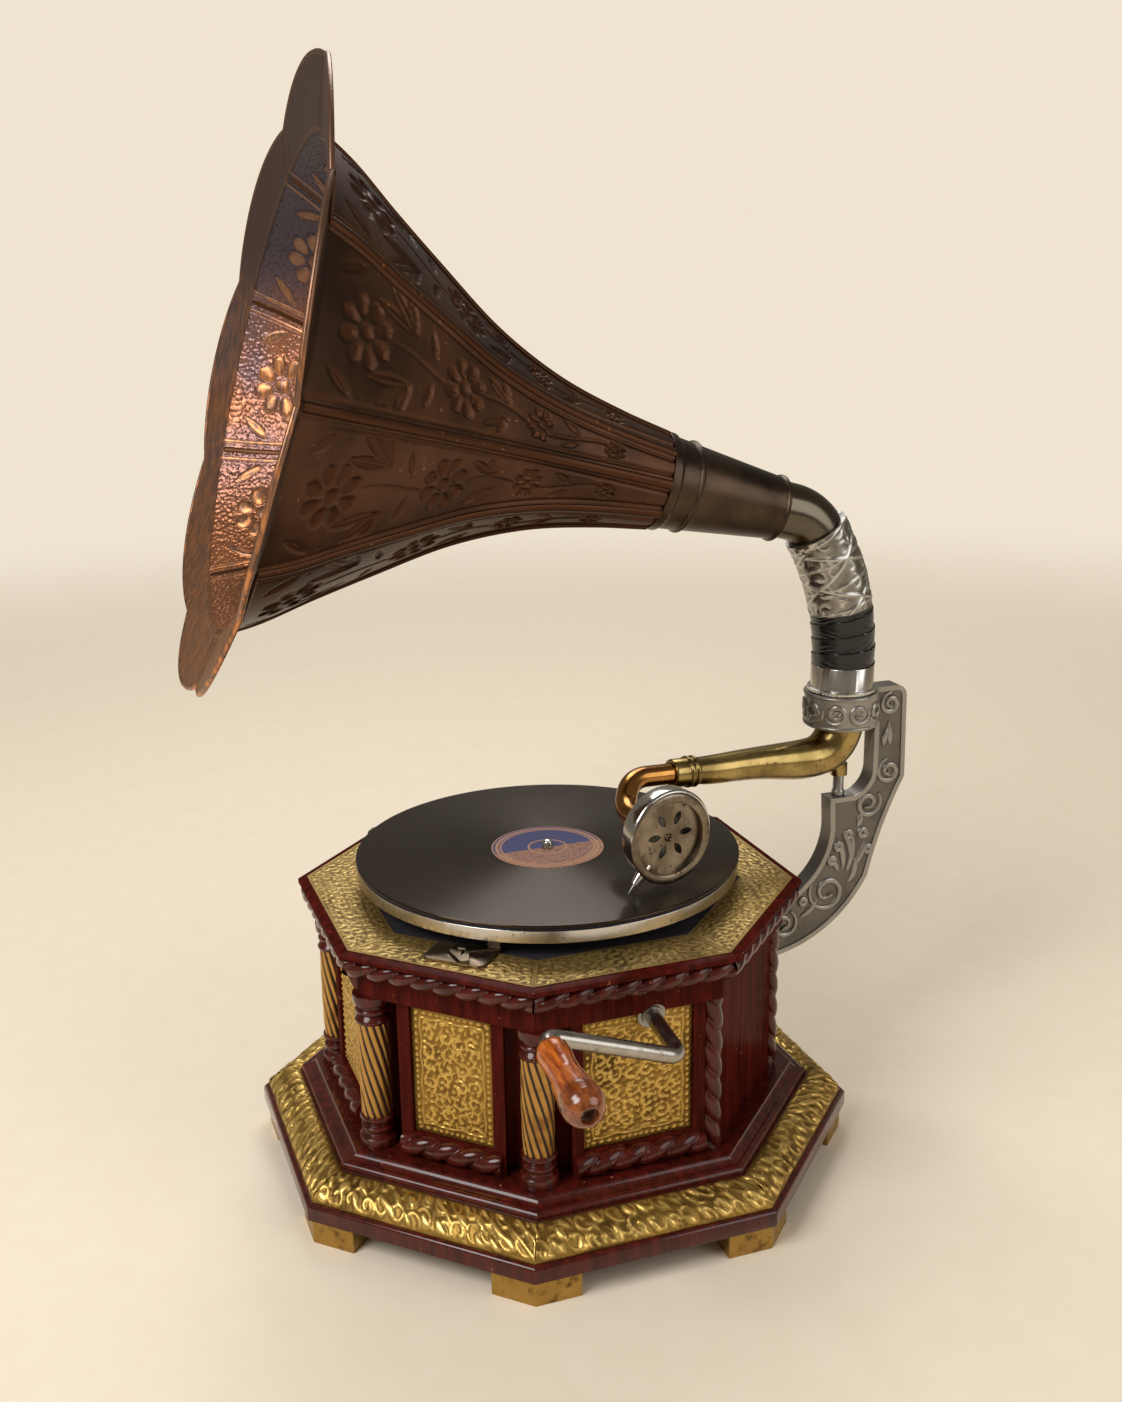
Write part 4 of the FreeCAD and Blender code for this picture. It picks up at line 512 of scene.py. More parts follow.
skirtWork = {"outer": (0.1842, 0.0281), "inner": (0.1628, 0.0401), "crown": 0.004, "reach": 0.0255,
             "depth": 0.0015, "wall": 0.0005, "pattern": 0.0072, "fade": (0.0003, 0.003),
             "columns": 172, "rows": 34}
bm = newMesh()
for side in range(8):
    def put(u, v):
        (flatLow, low), (flatHigh, high) = skirtWork["outer"], skirtWork["inner"]
        swell = 4 * skirtWork["crown"] * v * (1 - v)
        run = math.hypot(flatHigh - flatLow, high - low)
        flat = flatLow + (flatHigh - flatLow) * v + swell * (high - low) / run
        rise = low + (high - low) * v + swell * (flatLow - flatHigh) / run
        return onSide(side, flat, (2 * u - 1) * flat * mitre, rise)

    def height(u, v):
        along = (2 * u - 1) * skirtWork["outer"][0] * mitre
        reach = v * skirtWork["reach"]
        unit = skirtWork["pattern"]
        curls = scrolls((along + 0.4 * reach) / (1.5 * unit) + 60, reach / (1.9 * unit), side + 3)
        waves = worms((along + 0.7 * reach) / unit + 30, reach / (2.2 * unit), side + 21)
        edge = np.minimum(reach, skirtWork["reach"] - reach)
        return np.maximum(0.75 * curls, waves) * smoothstep(*skirtWork["fade"], edge)

    addSheet(bm, skirtWork, put, height)
sheets = addPiece("skirtSheets", bm, "cabinet", "pressed_brass", ["skirt_sheets"], [skirtBrass])
thicken(sheets, skirtWork["wall"])

panelWork = {"sides": (0, -1, -2, -3, -4), "face": 0.1375, "low": 0.0647, "high": 0.1498, "frontHalf": 0.0278,
             "sideHalf": 0.0358, "shift": 0.0073, "depth": 0.0012, "wall": 0.0004, "pattern": 0.0040,
             "fade": (0.0066, 0.0086), "columns": 88, "rows": 108}
panelBead = {"pitch": 0.0043, "inset": 0.0032, "radius": 0.0016, "drift": 0.007}
panelLine = {"inset": 0.0064, "width": 0.0007, "sway": 0.0005, "drift": 0.0031}
panelTall = panelWork["high"] - panelWork["low"]


def panelSpan(side):  # half the width of a side's panel, and its shift along the side
    shifts = {0: panelWork["shift"], -4: -panelWork["shift"]}
    half = panelWork["sideHalf"] if side in shifts else panelWork["frontHalf"]
    return half, shifts.get(side, 0.0)


bm = newMesh()
for side in panelWork["sides"]:
    half, shift = panelSpan(side)

    def put(u, v):
        return onSide(side, panelWork["face"], shift + (2 * u - 1) * half, panelWork["low"] + v * panelTall)

    def height(u, v):
        x = (2 * u - 1) * half
        y = v * panelTall
        toSide = half - np.abs(x)
        toEnd = np.minimum(y, panelTall - y)
        edge = np.minimum(toSide, toEnd)
        run = np.where(toSide < toEnd, y, x)  # the length along the nearest edge
        step = np.mod(run / panelBead["pitch"] + 0.3 * np.sin(run / panelBead["drift"]), 1) - 0.5
        away = np.hypot(step * panelBead["pitch"], edge - panelBead["inset"])
        bead = np.sqrt(np.clip(1 - away / panelBead["radius"], 0, 1))
        sway = panelLine["sway"] * np.sin(run / panelLine["drift"])
        line = np.exp(-((edge - panelLine["inset"] - sway) / panelLine["width"]) ** 2)
        unit = panelWork["pattern"]
        strokes = worms(x / unit + 20, y / unit + 20, side * 5 + 90)
        curls = scrolls(x / (2.6 * unit) + 20, y / (2.6 * unit) + 20, side * 5 + 60)
        field = np.maximum(0.9 * curls * (strokes < 0.9), 0.85 * strokes)
        field = field * smoothstep(*panelWork["fade"], edge)
        return np.maximum(np.maximum(0.9 * bead, 0.7 * line), field)

    addSheet(bm, panelWork, put, height)
sheets = addPiece("brassPanels", bm, "cabinet", "pressed_brass", ["brass_panels"])
thicken(sheets, panelWork["wall"])
print("pressed brass done")


# Rope mouldings: lobes that lean along a round rod

lobeFullness = 0.6  # the lower, the fuller the lobes and the narrower their grooves


def lobes(turns, ahead, starts):  # 1 on a lobe's crest, 0 in the groove between two
    return np.abs(np.sin(math.pi * (ahead - starts * turns))) ** lobeFullness


ropeWork = {"pitch": 0.0148, "starts": 2, "depth": 0.0027, "columns": 150, "rows": 40}
corniceLow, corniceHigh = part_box("cornice_rope")
corniceRadius = (corniceHigh.z - corniceLow.z) / 2
corniceMiddle = (corniceHigh.z + corniceLow.z) / 2
corniceFlat = (corniceHigh.x - corniceLow.x) / 2 - corniceRadius
bm = newMesh()
for side in range(8):
    def put(u, v):
        turn = 2 * math.pi * v
        radius = corniceRadius - ropeWork["depth"]
        flat = corniceFlat + radius * np.cos(turn)
        return onSide(side, flat, (2 * u - 1) * flat * mitre, corniceMiddle + radius * np.sin(turn))

    def height(u, v):
        along = (2 * u - 1) * corniceFlat * mitre
        return lobes(v, along / ropeWork["pitch"], ropeWork["starts"])

    addSheet(bm, ropeWork, put, height)
bmesh.ops.remove_doubles(bm, verts=bm.verts, dist=1e-5)
addPiece("corniceRope", bm, "cabinet", "mahogany", ["cornice_rope"])

railWork = {"pitch": 0.0168, "starts": 2, "depth": 0.0027, "radius": 0.0075, "flat": 0.1401, "over": 0.0067,
            "columns": 100, "rows": 40}
railLow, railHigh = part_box("panel_rails")
bm = newMesh()
for side in panelWork["sides"]:
    half, shift = panelSpan(side)
    half += railWork["over"]

    def put(u, v):
        turn = 2 * math.pi * v
        radius = railWork["radius"] - railWork["depth"]
        return onSide(side, railWork["flat"] + radius * np.cos(turn), shift + (2 * u - 1) * half,
                      (railLow.z + railHigh.z) / 2 + radius * np.sin(turn))

    def height(u, v):
        return lobes(v, (2 * u - 1) * half / railWork["pitch"], railWork["starts"])

    closeTube(bm, addSheet(bm, railWork, put, height))
addPiece("panelRails", bm, "cabinet", "mahogany", ["panel_rails"])


def addPost(bm, work, corner, low, high):  # an upright twisted rod in one corner of the octagon
    angle = (corner + 0.5) * eighth
    centre = (axis.x + work["ring"] * math.cos(angle), axis.y + work["ring"] * math.sin(angle))

    def put(u, v):
        turn = 2 * math.pi * u + angle
        radius = work["radius"] - work["depth"] + work["swell"] * np.sin(math.pi * v)
        x, y = centre[0] + radius * np.cos(turn), centre[1] + radius * np.sin(turn)
        return np.stack([x, y, low + v * (high - low)], 1)

    def height(u, v):
        return work["shape"](u, v * (high - low))

    closeTube(bm, addSheet(bm, work, put, height))


def ropeLobes(turns, up):
    return lobes(turns, -up / cornerRope["pitch"], cornerRope["starts"])


def shaftFlutes(turns, up):
    lean = np.mod(columnShaft["flutes"] * turns + up / columnShaft["pitch"], 1.0)
    return 1 - np.exp(-((lean - 0.5) / columnShaft["groove"]) ** 2)


cornerRope = {"ring": 0.1485, "radius": 0.0065, "depth": 0.002, "swell": 0.0, "pitch": 0.0165, "starts": 2,
              "columns": 36, "rows": 130, "shape": ropeLobes}
ropeLow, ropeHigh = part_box("corner_ropes")
bm = newMesh()
for corner in (0, 1, 2, 3):
    addPost(bm, cornerRope, corner, ropeLow.z, ropeHigh.z)
addPiece("cornerRopes", bm, "cabinet", "mahogany", ["corner_ropes"])

columnShaft = {"ring": 0.147, "radius": 0.0098, "depth": 0.0013, "swell": 0.0005, "pitch": 0.0174,
               "flutes": 12, "groove": 0.19, "columns": 108, "rows": 110, "shape": shaftFlutes}
shaftLow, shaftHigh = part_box("column_shafts")
bm = newMesh()
for corner in (-1, -2, -3, -4):
    addPost(bm, columnShaft, corner, shaftLow.z, shaftHigh.z)
addPiece("columnShafts", bm, "cabinet", "gilt_wood", ["column_shafts"])
print("ropes and shafts done")


# Horn: nine petals pressed with flowers, a plain broad lip, a rolled rim and a rib over each seam
# Bell: behind the mouth, radius at the seams, radius in mid-petal. Lip: the same two radii

horn = {"petals": 9, "firstSeam": 49.1, "tilt": 15.4, "turn": -2.8, "pivot": 0.219, "mouth": (-0.173, 0.515),
        "bell": ((0.262, 0.031, 0.031), (0.228, 0.0366, 0.036), (0.178, 0.049, 0.047),
                 (0.135, 0.0675, 0.0645), (0.092, 0.094, 0.0905), (0.058, 0.116, 0.114),
                 (0.027, 0.137, 0.1355), (0.009, 0.1465, 0.1460)),
        "lip": (0.178, 0.187), "wave": 0.0042, "fullSeam": 8, "fullness": 0.05, "wall": 0.0012,
        "depth": 0.0015, "columns": 84, "rows": 220, "crease": 70}
hornTilt, hornTurn = math.radians(horn["tilt"]), math.radians(horn["turn"])
petalHalf = math.pi / horn["petals"]
bellBehind, bellSeam, bellMiddle = np.array(horn["bell"])[::-1].T


def swung(x, y, z):  # the horn as it stands, turned in its ring
    c, s = math.cos(hornTurn), math.sin(hornTurn)
    return np.stack([x * c - y * s, x * s + y * c, z + 0 * x], -1)


ringCentre = np.array([axis.x, axis.y + horn["pivot"], 0.0])
hornMouth = ringCentre + swung(0.0, horn["mouth"][0] - horn["pivot"], horn["mouth"][1])
hornAhead = swung(0.0, -math.cos(hornTilt), math.sin(hornTilt))
hornUp = swung(0.0, math.sin(hornTilt), math.cos(hornTilt))
hornSide = swung(1.0, 0.0, 0.0)


def through(places, values, x):  # a smooth curve through the values
    slope = np.gradient(values, places)
    k = np.clip(np.searchsorted(places, x) - 1, 0, len(places) - 2)
    span = places[k + 1] - places[k]
    t = (x - places[k]) / span
    rise = (1 + 2 * t) * (1 - t) ** 2 * values[k] + t * t * (3 - 2 * t) * values[k + 1]
    return rise + span * (t * (1 - t) ** 2 * slope[k] + t * t * (t - 1) * slope[k + 1])


runBehind = np.linspace(bellBehind[-1], bellBehind[0], 600)
runOut = through(bellBehind, bellMiddle, runBehind)
runLength = np.concatenate([[0.0], np.cumsum(np.hypot(np.diff(runBehind), np.diff(runOut)))])
bellLength = runLength[-1]
lipWidth = horn["lip"][1] - bellMiddle[0]
lipRow = round(horn["rows"] * bellLength / (bellLength + lipWidth)) / horn["rows"]


def lipShare(v, most):  # 0 on the bell, 1 at the lip's edge
    return np.clip((v - lipRow) / (1 - lipRow), 0, most)


def petalPlace(u, v):  # u goes from seam to seam, v from the foot to the lip's edge
    onLip = lipShare(v, 1.01)
    run = np.clip(v / lipRow, 0, 1) * bellLength
    behind = np.interp(run, runLength, runBehind)
    seam = through(bellBehind, bellSeam, behind) + onLip * (horn["lip"][0] - bellSeam[0])
    crown = through(bellBehind, bellMiddle, behind) + onLip * lipWidth
    across, chord = seam * math.sin(petalHalf), seam * math.cos(petalHalf)
    sag = np.maximum(crown - chord, 1e-5)
    bow = (across ** 2 + sag ** 2) / (2 * sag)
    spread = np.arctan2(across, chord - crown + bow) * (2 * u - 1)
    wave = horn["wave"] * (0.5 - (2 * u - 1) ** 2)
    ahead = onLip * (bellBehind[0] + wave)  # the lip leans forward, most in mid-petal
    back = bellLength - run - onLip * lipWidth
    return behind - ahead, crown - bow + bow * np.cos(spread), bow * np.sin(spread), across, back


def onPetal(number, u, v):
    behind, out, sideways, _, _ = petalPlace(u, v)
    near = {horn["fullSeam"]: 1 - u, horn["fullSeam"] - 1: u}.get(number % horn["petals"], 0 * u)
    swell = 1 + horn["fullness"] * near ** 3 * lipShare(v, 1)  # no notch at the top seam
    angle = math.radians(horn["firstSeam"]) + (2 * number + 1) * petalHalf
    middle = math.cos(angle) * hornUp + math.sin(angle) * hornSide
    side = math.cos(angle) * hornSide - math.sin(angle) * hornUp
    spot = hornMouth - behind[:, None] * hornAhead
    return spot + (swell * out)[:, None] * middle + (swell * sideways)[:, None] * side


# Flowers: back from the lip, radius. Leaves: back from the lip, off the middle, lean, length, width
pressed = {"flowers": ((0.034, 0.0195), (0.118, 0.0165), (0.182, 0.0095), (0.238, 0.0065)),
           "leaves": ((0.074, 0.014, 12, 0.036, 0.0042), (0.074, 0.014, 40, 0.037, 0.0046),
                      (0.074, 0.014, 66, 0.026, 0.0038), (0.030, 0.036, -28, 0.022, 0.0036),
                      (0.156, 0.004, 28, 0.022, 0.003), (0.156, 0.004, 60, 0.015, 0.0026),
                      (0.092, 0.006, 70, 0.018, 0.003), (0.212, 0.002, 30, 0.015, 0.002)),
           "stemSway": 0.003, "stemWaves": 0.0135, "stemWidth": 0.0012, "stemFade": (0.05, 0.06),
           "stemEnd": 0.245, "seamFade": (0.007, 0.0095), "seamLine": 0.0058, "seamWidth": 0.0012,
           "lipFade": (0.003, 0.005), "lipLine": -0.0024, "lipWidth": 0.0014, "lip": 0.4,
           "lipStep": (-0.001, -0.004)}
bloom = {"petals": 8, "half": 0.47, "middle": 0.66, "reach": 0.36, "foot": (0.28, 0.5), "eye": 0.27,
         "eyeHigh": 1.1}


def flower(x, y, radius):  # full petals round a domed eye, in shares of the radius
    r = np.hypot(x, y) / radius
    across = np.mod(np.arctan2(y, x) * bloom["petals"] / (2 * math.pi), 1.0) - 0.5
    half = bloom["half"] * np.sqrt(np.clip(1 - ((r - bloom["middle"]) / bloom["reach"]) ** 2, 1e-6, 1))
    petal = np.sqrt(np.clip(1 - (across / half) ** 2, 0, 1)) * smoothstep(*bloom["foot"], r)
    eye = np.sqrt(np.clip(1 - (r / bloom["eye"]) ** 2, 0, 1))
    return np.maximum(petal, bloom["eyeHigh"] * eye)


def leaf(x, y, length, width):  # grows along x from nothing, with a sunk rib
    half = width * np.sin(math.pi * np.clip(x / length, 0, 1)) ** 0.8 + 1e-6
    rib = 0.4 + 0.6 * smoothstep(0.0, 0.45, np.abs(y) / half)
    return np.where((x > 0) & (x < length), smoothstep(0.0, 0.4, 1 - np.abs(y) / half) * rib, 0.0)


def petalPattern(u, v):
    _, _, x, across, back = petalPlace(u, v)
    toSeam = across - np.abs(x)
    stem = x - pressed["stemSway"] * np.sin(back / pressed["stemWaves"])
    level = 0.55 * np.exp(-(stem / pressed["stemWidth"]) ** 2) * smoothstep(*pressed["stemFade"], back)
    level = level * (back < pressed["stemEnd"])
    for start, off, lean, length, width in pressed["leaves"]:
        c, s = math.cos(math.radians(lean)), math.sin(math.radians(lean))
        dx, dy = np.abs(x) - off, start - back
        level = np.maximum(level, 0.9 * leaf(dy * c + dx * s, dx * c - dy * s, length, width))
    for start, radius in pressed["flowers"]:
        level = np.where(np.hypot(x, back - start) > radius * 1.05, level, 0.0)
        level = np.maximum(level, flower(x, back - start, radius))
    level = level * smoothstep(*pressed["seamFade"], toSeam) * smoothstep(*pressed["lipFade"], back)
    seamLine = np.exp(-((toSeam - pressed["seamLine"]) / pressed["seamWidth"]) ** 2)
    lipLine = np.exp(-((back - pressed["lipLine"]) / pressed["lipWidth"]) ** 2)
    level = np.maximum(level, 0.75 * np.clip(seamLine + lipLine, 0, 1))
    return np.maximum(level, pressed["lip"] * smoothstep(*pressed["lipStep"], back))


for number in range(horn["petals"]):
    bm = newMesh()

    def inner(u, v):
        return onPetal(number, u, v)

    def outer(u, v):  # the same skin seen from behind
        return onPetal(number, 1 - u, v)

    def outerPattern(u, v):
        return petalPattern(1 - u, v)

    addSheet(bm, horn, outer, outerPattern, -1)
    skin = len(bm.faces)
    addSheet(bm, horn, inner, petalPattern, 1, horn["wall"])
    bm.faces.ensure_lookup_table()
    for face in bm.faces[skin:]:
        face.material_index = 1
    bmesh.ops.bridge_loops(bm, edges=[edge for edge in bm.edges if edge.is_boundary])
    skins = [finishes["horn_metal"], hornInside]
    addPiece(f"hornPetal{number + 1}", bm, "horn", "horn_metal", ["horn_petals"], skins, horn["crease"])
print("petals done")

rim = {"wide": 0.0019, "high": 0.0017, "columns": 70, "rows": 10}
rib = {"wide": 0.0030, "high": 0.0017, "columns": 150, "rows": 12}


def addTube(bm, path, aim, work, taper=None):  # a bar along path(u), high towards aim(u) and wide across it
    def put(u, v):
        step = 1e-4
        along = path(np.clip(u + step, 0, 1)) - path(np.clip(u - step, 0, 1))
        along /= np.linalg.norm(along, axis=1)[:, None]
        out = aim(u) - along * np.sum(aim(u) * along, axis=1)[:, None]
        out /= np.linalg.norm(out, axis=1)[:, None]
        turn = 2 * math.pi * v
        size = taper(u) if taper else np.ones_like(u)
        tall, broad = work["high"] * size * np.cos(turn), work["wide"] * size * np.sin(turn)
        return path(u) + tall[:, None] * out + broad[:, None] * np.cross(out, along)

    closeTube(bm, addSheet(bm, work, put))


def steady(x, y, z):  # the same aim all along a path
    def aim(u):
        return np.repeat(np.array([[x, y, z]]), len(u), 0)
    return aim


rims, ribs = newMesh(), newMesh()
for number in range(horn["petals"]):
    def rimPath(u):
        return onPetal(number, u, np.ones_like(u)) + hornAhead * horn["wall"] / 2

    def seamPath(u):
        return onPetal(number, 0 * u, u * 0.998)

    def seamAim(u):  # square to the two petals that meet there
        across = onPetal(number, np.full_like(u, 0.01), u) - onPetal(number - 1, np.full_like(u, 0.99), u)
        ahead = onPetal(number, 0 * u, u + 1e-3) - onPetal(number, 0 * u, u - 1e-3)
        return np.cross(ahead, across)

    addTube(rims, rimPath, steady(*hornAhead), rim)
    addTube(ribs, seamPath, seamAim, rib)
addPiece("hornRim", rims, "horn", "horn_metal", skins=[hornInside])
addPiece("hornRibs", ribs, "horn", "horn_metal")
print("rim and ribs done")


# Wraps round the elbow, which leaves the ring upright and bends about a line beside it

elbow = {"bend": 0.170, "start": 0.3181, "tapeFoot": 0.311, "tapeHead": 11.0, "foilHead": 31.0}
elbowDegree = elbow["bend"] * math.radians(1)
tapeWork = {"radius": 0.0210, "depth": 0.0011, "step": 0.0118, "columns": 110, "rows": 90}
foilWork = {"radius": 0.0214, "depth": 0.0016, "crease": 0.016, "scroll": 0.0125,
            "folds": ((2, 0.6, 0.0), (-3, 0.5, 0.4), (1, -0.9, 0.7)), "scrollsRound": 11,
            "columns": 180, "rows": 110}


def addWrap(bm, start, end, work, shape):
    def put(u, v):
        length = start + v * (end - start)
        turn, bend = 2 * math.pi * u, np.maximum(length, 0.0) / elbow["bend"]
        lean = elbow["bend"] * (1 - np.cos(bend))
        across, out = work["radius"] * np.cos(turn), work["radius"] * np.sin(turn)
        rise = elbow["start"] + np.minimum(length, 0.0) + elbow["bend"] * np.sin(bend)
        return ringCentre + swung(across, out * np.cos(bend) - lean, rise + out * np.sin(bend))

    def height(u, v):
        return shape(u, v * (end - start))

    closeTube(bm, addSheet(bm, work, put, height))


def tapeSteps(turns, up):
    lap = np.mod(up / tapeWork["step"] - turns + 0.05 * np.sin(turns * 4 * math.pi), 1.0)
    pucker = 0.12 * np.sin(turns * 22 * math.pi + 9 * np.sin(up / 0.004)) * (1 - lap)
    return np.clip(lap * 0.8 + 0.1 + pucker, 0, 1)


def foilCrumple(turns, up):  # creases that go round whole times, with scrolls between them
    folds = np.zeros_like(turns)
    for waves, climb, start in foilWork["folds"]:
        away = np.abs(np.mod(turns * waves + up * climb / foilWork["crease"] + start, 1.0) - 0.5) * 2
        folds = np.maximum(folds, (1 - smoothstep(0.0, 0.16, away)) * (0.6 + 0.1 * climb))
    emboss = scrolls(turns * foilWork["scrollsRound"], up / foilWork["scroll"], 31)
    emboss = emboss * smoothstep(0.0, 0.06, 0.5 - np.abs(turns - 0.5))
    sag = 0.05 * np.sin(turns * 6 * math.pi + up / 0.005) * (1 - folds)
    return np.clip(np.maximum(folds, 0.5 * emboss) * 0.75 + 0.12 + sag, 0, 1)


bm = newMesh()
addWrap(bm, elbow["tapeFoot"] - elbow["start"], elbow["tapeHead"] * elbowDegree, tapeWork, tapeSteps)
addPiece("tapeWrap", bm, "horn", "tape", ["tape_wrap"])
bm = newMesh()
addWrap(bm, elbow["tapeHead"] * elbowDegree, elbow["foilHead"] * elbowDegree, foilWork, foilCrumple)
addPiece("foilWrap", bm, "horn", "foil", ["foil_wrap"])
print("wraps done")


# Scrolls cast on the bracket: volutes that wind in to a bulb, and leaves, on both cheeks and round the ring

casting = {"field": 0.0058, "ring": 0.0255, "ringMiddle": 0.280}
volute = {"wide": 0.0023, "high": 0.0016, "columns": 52, "rows": 8, "turns": 1.5, "wound": 0.78}
leafBar = {"wide": 0.0027, "high": 0.0016, "columns": 16, "rows": 8}
# Volutes: y, z, radius, start, hand. Leaves: y, z, aim, length, curl. Band: place, radius, start, hand
cheekVolutes = ((0.2555, 0.2790, 0.0080, 90, 1), (0.2560, 0.2290, 0.0094, 100, 1),
                (0.2405, 0.2065, 0.0104, 40, -1), (0.2095, 0.1435, 0.0148, 150, 1),
                (0.1755, 0.1235, 0.0104, 60, -1), (0.2130, 0.1665, 0.0034, 0, 1),
                (0.2180, 0.1765, 0.0034, 0, 1), (0.2255, 0.1845, 0.0036, 0, 1),
                (0.2375, 0.1850, 0.0040, 0, -1), (0.2420, 0.1720, 0.0034, 0, -1),
                (0.1905, 0.1385, 0.0030, 0, 1))
cheekLeaves = ((0.2240, 0.1560, 62, 0.030, 0.35), (0.2215, 0.1590, 84, 0.024, 0.30),
               (0.2180, 0.1580, 108, 0.015, 0.30), (0.2290, 0.1590, 46, 0.022, 0.25),
               (0.2270, 0.1640, 76, 0.022, 0.50), (0.1880, 0.1270, 20, 0.018, 0.4),
               (0.2560, 0.2480, 90, 0.018, 0.1), (0.2510, 0.2480, 90, 0.014, -0.2),
               (0.2320, 0.1900, 50, 0.010, 0.4), (0.2255, 0.1480, 40, 0.020, 0.6))
bandVolutes = ((-112, 0.0074, 200, 1), (-76, 0.0078, 20, -1), (-38, 0.0078, 200, 1), (0, 0.0078, 20, -1),
               (36, 0.0070, 200, 1))
bandLips = {"wide": 0.0012, "high": 0.0009, "columns": 72, "rows": 8, "inset": 0.0014, "foot": 0.268,
            "start": -200, "sweep": 220}


def cheek(side):  # a place on one cheek of the bracket, from its own y and z
    def lay(y, z):
        return np.stack([np.full_like(y, axis.x + side * casting["field"]), axis.y + y, z], 1)
    return lay


def band(y, z):  # y is a length round the ring from its front
    turn = y / casting["ring"]
    return ringCentre + np.stack([casting["ring"] * np.cos(turn), casting["ring"] * np.sin(turn), z], 1)


def addVolute(bm, lay, y, z, radius, start, hand, aim):
    def path(u):
        turn = math.radians(start) + hand * 2 * math.pi * volute["turns"] * u
        wound = radius * (1 - volute["wound"] * u)
        return lay(y + wound * np.cos(turn), z + wound * np.sin(turn))

    def taper(u):
        return 0.55 + 0.45 * np.sin(math.pi * np.clip(u * 1.1, 0, 1)) + 0.75 * smoothstep(0.88, 1.0, u)

    addTube(bm, path, aim, volute, taper)


def addLeafBar(bm, lay, y, z, lean, length, curl, aim):
    def path(u):
        turn = math.radians(lean) + curl * u
        return lay(y + length * u * np.cos(turn), z + length * u * np.sin(turn))

    def taper(u):
        return np.sin(math.pi * (0.08 + 0.84 * u)) ** 0.8

    addTube(bm, path, aim, leafBar, taper)


bm = newMesh()
for side in (-1, 1):
    squareOut = steady(side, 0.0, 0.0)
    for item in cheekVolutes:
        addVolute(bm, cheek(side), *item, squareOut)
    for item in cheekLeaves:
        addLeafBar(bm, cheek(side), *item, squareOut)
for degrees, radius, start, hand in bandVolutes:
    turn = math.radians(degrees)
    ringOut = steady(math.cos(turn), math.sin(turn), 0.0)
    along = turn * casting["ring"]
    addVolute(bm, band, along, casting["ringMiddle"], radius, start, hand, ringOut)
for middle in (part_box("bracket")[1].z - bandLips["inset"], bandLips["foot"] + bandLips["inset"]):
    def lipPath(u):
        turn = math.radians(bandLips["start"]) + math.radians(bandLips["sweep"]) * u
        return band(turn * casting["ring"], np.full_like(u, middle))

    def lipAim(u):
        return lipPath(u) - ringCentre - np.array([0.0, 0.0, middle])

    addTube(bm, lipPath, lipAim, bandLips)
addPiece("castScrolls", bm, "cabinet", "casting")
print("cast scrolls done")


# Soundbox face: a broad bezel over the case's edge and a hollow rivet in the middle of the plate

face = {"outer": 0.0292, "inner": 0.0234, "thick": 0.0011, "steps": 72,
        "rivet": 0.0024, "rivetHigh": 0.0009, "rivetSteps": 24}
casePoints = np.array([vert.co for vert in nodes["soundbox_case"].data.vertices])
platePoints = np.array([vert.co for vert in nodes["soundbox_grille"].data.vertices])
caseMiddle, plateMiddle = casePoints.mean(0), platePoints.mean(0)
faceAxis = np.linalg.svd(platePoints - plateMiddle)[2][2]
faceAxis *= np.sign(np.dot(faceAxis, plateMiddle - caseMiddle))
faceFoot = plateMiddle - faceAxis * np.dot(plateMiddle, faceAxis)
facing = Vector(faceAxis).to_track_quat("Z", "Y").to_matrix()


def addRing(bm, profile, height, steps):  # a closed outline of radius and rise, spun about the face's axis
    origin = Vector(faceFoot + faceAxis * height)
    corners = [bm.verts.new(origin + facing @ Vector((radius, 0.0, rise))) for radius, rise in profile]
    edges = [bm.edges.new((corners[k - 1], corners[k])) for k in range(len(corners))]
    bmesh.ops.spin(bm, geom=corners + edges, cent=origin, axis=Vector(faceAxis), angle=2 * math.pi,
                   steps=steps, use_merge=True)


bm = newMesh()
caseFront = np.max(casePoints @ faceAxis)
plateFront = np.max(platePoints @ faceAxis)
outer, inner, thick = face["outer"], face["inner"], face["thick"]
sunk = plateFront - caseFront
bezel = ((outer - 0.0006, 0), (outer, 0.0004), (outer - 0.0009, thick), (inner + 0.0012, thick),
         (inner + 0.0003, thick * 0.6), (inner, sunk), (inner + 0.0012, sunk), (inner + 0.0014, 0))
rivet, dome = face["rivet"], face["rivetHigh"]
head = ((rivet, 0), (rivet * 0.9, dome * 0.7), (rivet * 0.65, dome), (rivet * 0.45, dome * 0.5),
        (rivet * 0.42, 0))
addRing(bm, bezel, caseFront, face["steps"])
addRing(bm, head, plateFront, face["rivetSteps"])
bmesh.ops.recalc_face_normals(bm, faces=bm.faces)
addPiece("soundboxBezel", bm, "soundbox", "nickel", skins=[agedNickel])
print("soundbox face done")


# CAD pieces that show: a merged copy with smooth faces and softened edges

shown = {
    "mahogany": ("plinth_board", "plinth_moulding", "wall_boards", "column_ends", "frieze", "deck_frame"),
    "board": ("motor_board",), "casting": ("bracket", "bracket_screws"),
    "nickel": ("platter", "spindle", "soundbox_case", "soundbox_grille", "needle_bar", "horn_elbow"),
    "felt": ("felt_mat",), "shellac": ("record",), "label": ("record_label",),
    "rod_steel": ("crank_rod", "brake_plate", "brake_lever"),
    "works_steel": ("pivot_pin", "needle", "crank_bush"), "grip_wood": ("crank_grip",),
    "arm_brass": ("tonearm_tube", "tonearm_collar", "gooseneck"), "pressed_brass": ("feet",),
    "diaphragm": ("diaphragm",), "knob": ("speed_knob",), "horn_metal": ("horn_collar",)}
softened = {"width": 0.0004, "segments": 2, "crease": 32}
ownSkin = {"feet": footBrass, "wall_boards": wallWood, "frieze": wallWood, "deck_frame": wallWood,
           "soundbox_grille": agedNickel, "brake_plate": agedNickel, "brake_lever": agedNickel,
           "gooseneck": neckBrass, "horn_collar": collarMetal}
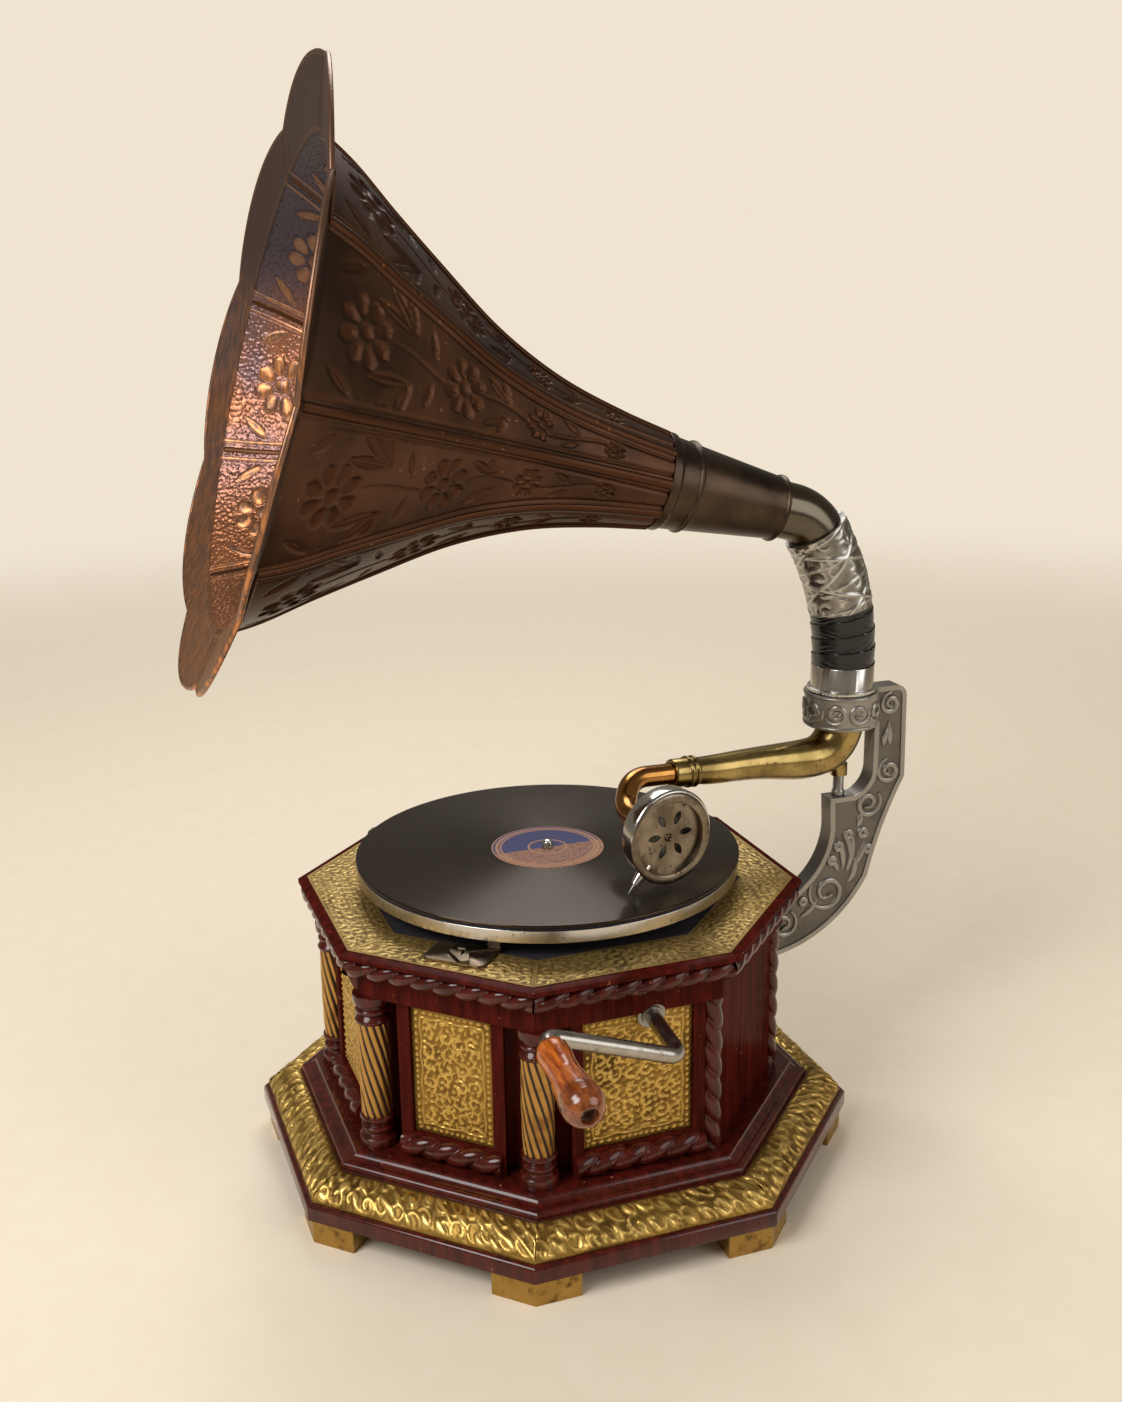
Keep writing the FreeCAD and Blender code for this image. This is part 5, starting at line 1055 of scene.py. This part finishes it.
bodyOf = {name: body for body, names in frame["record"]["behaviour"]["bodies"].items() for name in names}
for slotName, names in shown.items():
    for name in names:
        bm = bmesh.new()
        bm.from_mesh(nodes[name].data)
        bmesh.ops.remove_doubles(bm, verts=bm.verts, dist=1e-6)
        skin = ownSkin.get(name, finishes[slotName])
        piece = addPiece(name + "Shown", bm, bodyOf[name], slotName, [name], [skin], softened["crease"])
        edge = piece.modifiers.new("softened", "BEVEL")
        edge.width, edge.segments = softened["width"], softened["segments"]
        edge.limit_method, edge.angle_limit = "ANGLE", math.radians(softened["crease"])
        edge.harden_normals = True
inside = {"works_steel": ("motor_top_plate", "motor_bottom_plate", "motor_pillars", "governor_brackets",
                          "barrel_arbor", "intermediate_arbor", "governor_shaft", "governor_springs",
                          "winding_shaft", "mainspring", "winding_wheel"),
          "works_brass": ("worm_wheel", "spring_barrel", "barrel_cover", "intermediate_wheel",
                          "governor_disc", "governor_balls")}
for slotName, names in inside.items():
    for name in names:
        nodes[name].data.materials.clear()
        nodes[name].data.materials.append(finishes[slotName])
print("carried pieces done")


# Floor, light and camera

studio = {"floor": rgb(240, 226, 204), "fleck": rgb(246, 234, 214), "air": rgb(240, 228, 208),
          "floorSize": 14.0, "fade": (1.0, 2.6), "lit": 0.32, "seen": 0.68, "mirrored": 0.1,
          "aim": (0.0, 0.0, 0.3),
          "lamps": (((0.7, -1.6, 1.7), 1.3, 36.0), ((1.5, 1.3, 1.1), 1.6, 13.0),
                    ((-1.3, 0.4, 1.9), 1.2, 18.0))}  # place, size, power
floorSkin = bpy.data.materials.new("paleFloor")
ground = emptied(floorSkin)  # far off, the camera sees the floor as pale as the air
mottle = speckle(ground, 40.0, 4.0)
matt = ground.node("BsdfPrincipled", Roughness=0.85, Specular_IOR_Level=0.2,
                   Base_Color=mottle.mix(studio["floor"], studio["fleck"]))
glow = ground.node("Emission", Color=studio["air"], Strength=1.0)
far = fromAxis(ground).clamped(*studio["fade"]) * ground.node("LightPath")
spread = ground.node("MixShader", n0=far, n1=matt, n2=glow)
ground.node("OutputMaterial", Surface=spread)

bm = bmesh.new()
bmesh.ops.create_circle(bm, cap_ends=True, segments=64, radius=studio["floorSize"])
floorMesh = bpy.data.meshes.new("floor")
bm.to_mesh(floorMesh)
bm.free()
floorMesh.materials.append(floorSkin)
floor = linked("floor", floorMesh)

world = bpy.data.worlds.new("studio")
bpy.context.scene.world = world
air = emptied(world)
camera = air.node("LightPath")
glossy = air.node("LightPath", None, 3)
clear = air.node("LightPath", None, 6)
strength = studio["lit"] + (camera + clear).clamped(0.0, 1.0) * studio["seen"] - glossy * studio["mirrored"]
sky = air.node("Background", Color=studio["air"], Strength=strength)
air.node("OutputWorld", Surface=sky)

for number, (spot, size, power) in enumerate(studio["lamps"]):
    lamp = bpy.data.lights.new(f"lamp{number + 1}", "AREA")
    lamp.shape, lamp.size, lamp.energy = "DISK", size, power
    held = linked(lamp.name, lamp)
    held.location = spot
    held.rotation_euler = (Vector(studio["aim"]) - Vector(spot)).to_track_quat("-Z", "Y").to_euler()

view = {"lens": 39.98, "sensor": 36.0, "roll": -0.877,
        "place": (0.9151, -0.3187, 0.5874), "ahead": (-0.9038, 0.3258, -0.2773)}
lens = bpy.data.cameras.new("camera")
lens.lens, lens.sensor_width = view["lens"], view["sensor"]
looking = linked("camera", lens)
ahead = Vector(view["ahead"]).normalized()
turned = Matrix.Rotation(math.radians(-view["roll"]), 3, ahead)
right = turned @ ahead.cross(Vector((0, 0, 1))).normalized()
looking.matrix_world = Matrix((right, right.cross(ahead), -ahead)).transposed().to_4x4()
looking.location = Vector(view["place"]) + Vector((axis.x, axis.y, 0.0))
bpy.context.scene.camera = looking
bpy.context.scene.view_settings.view_transform = "Standard"
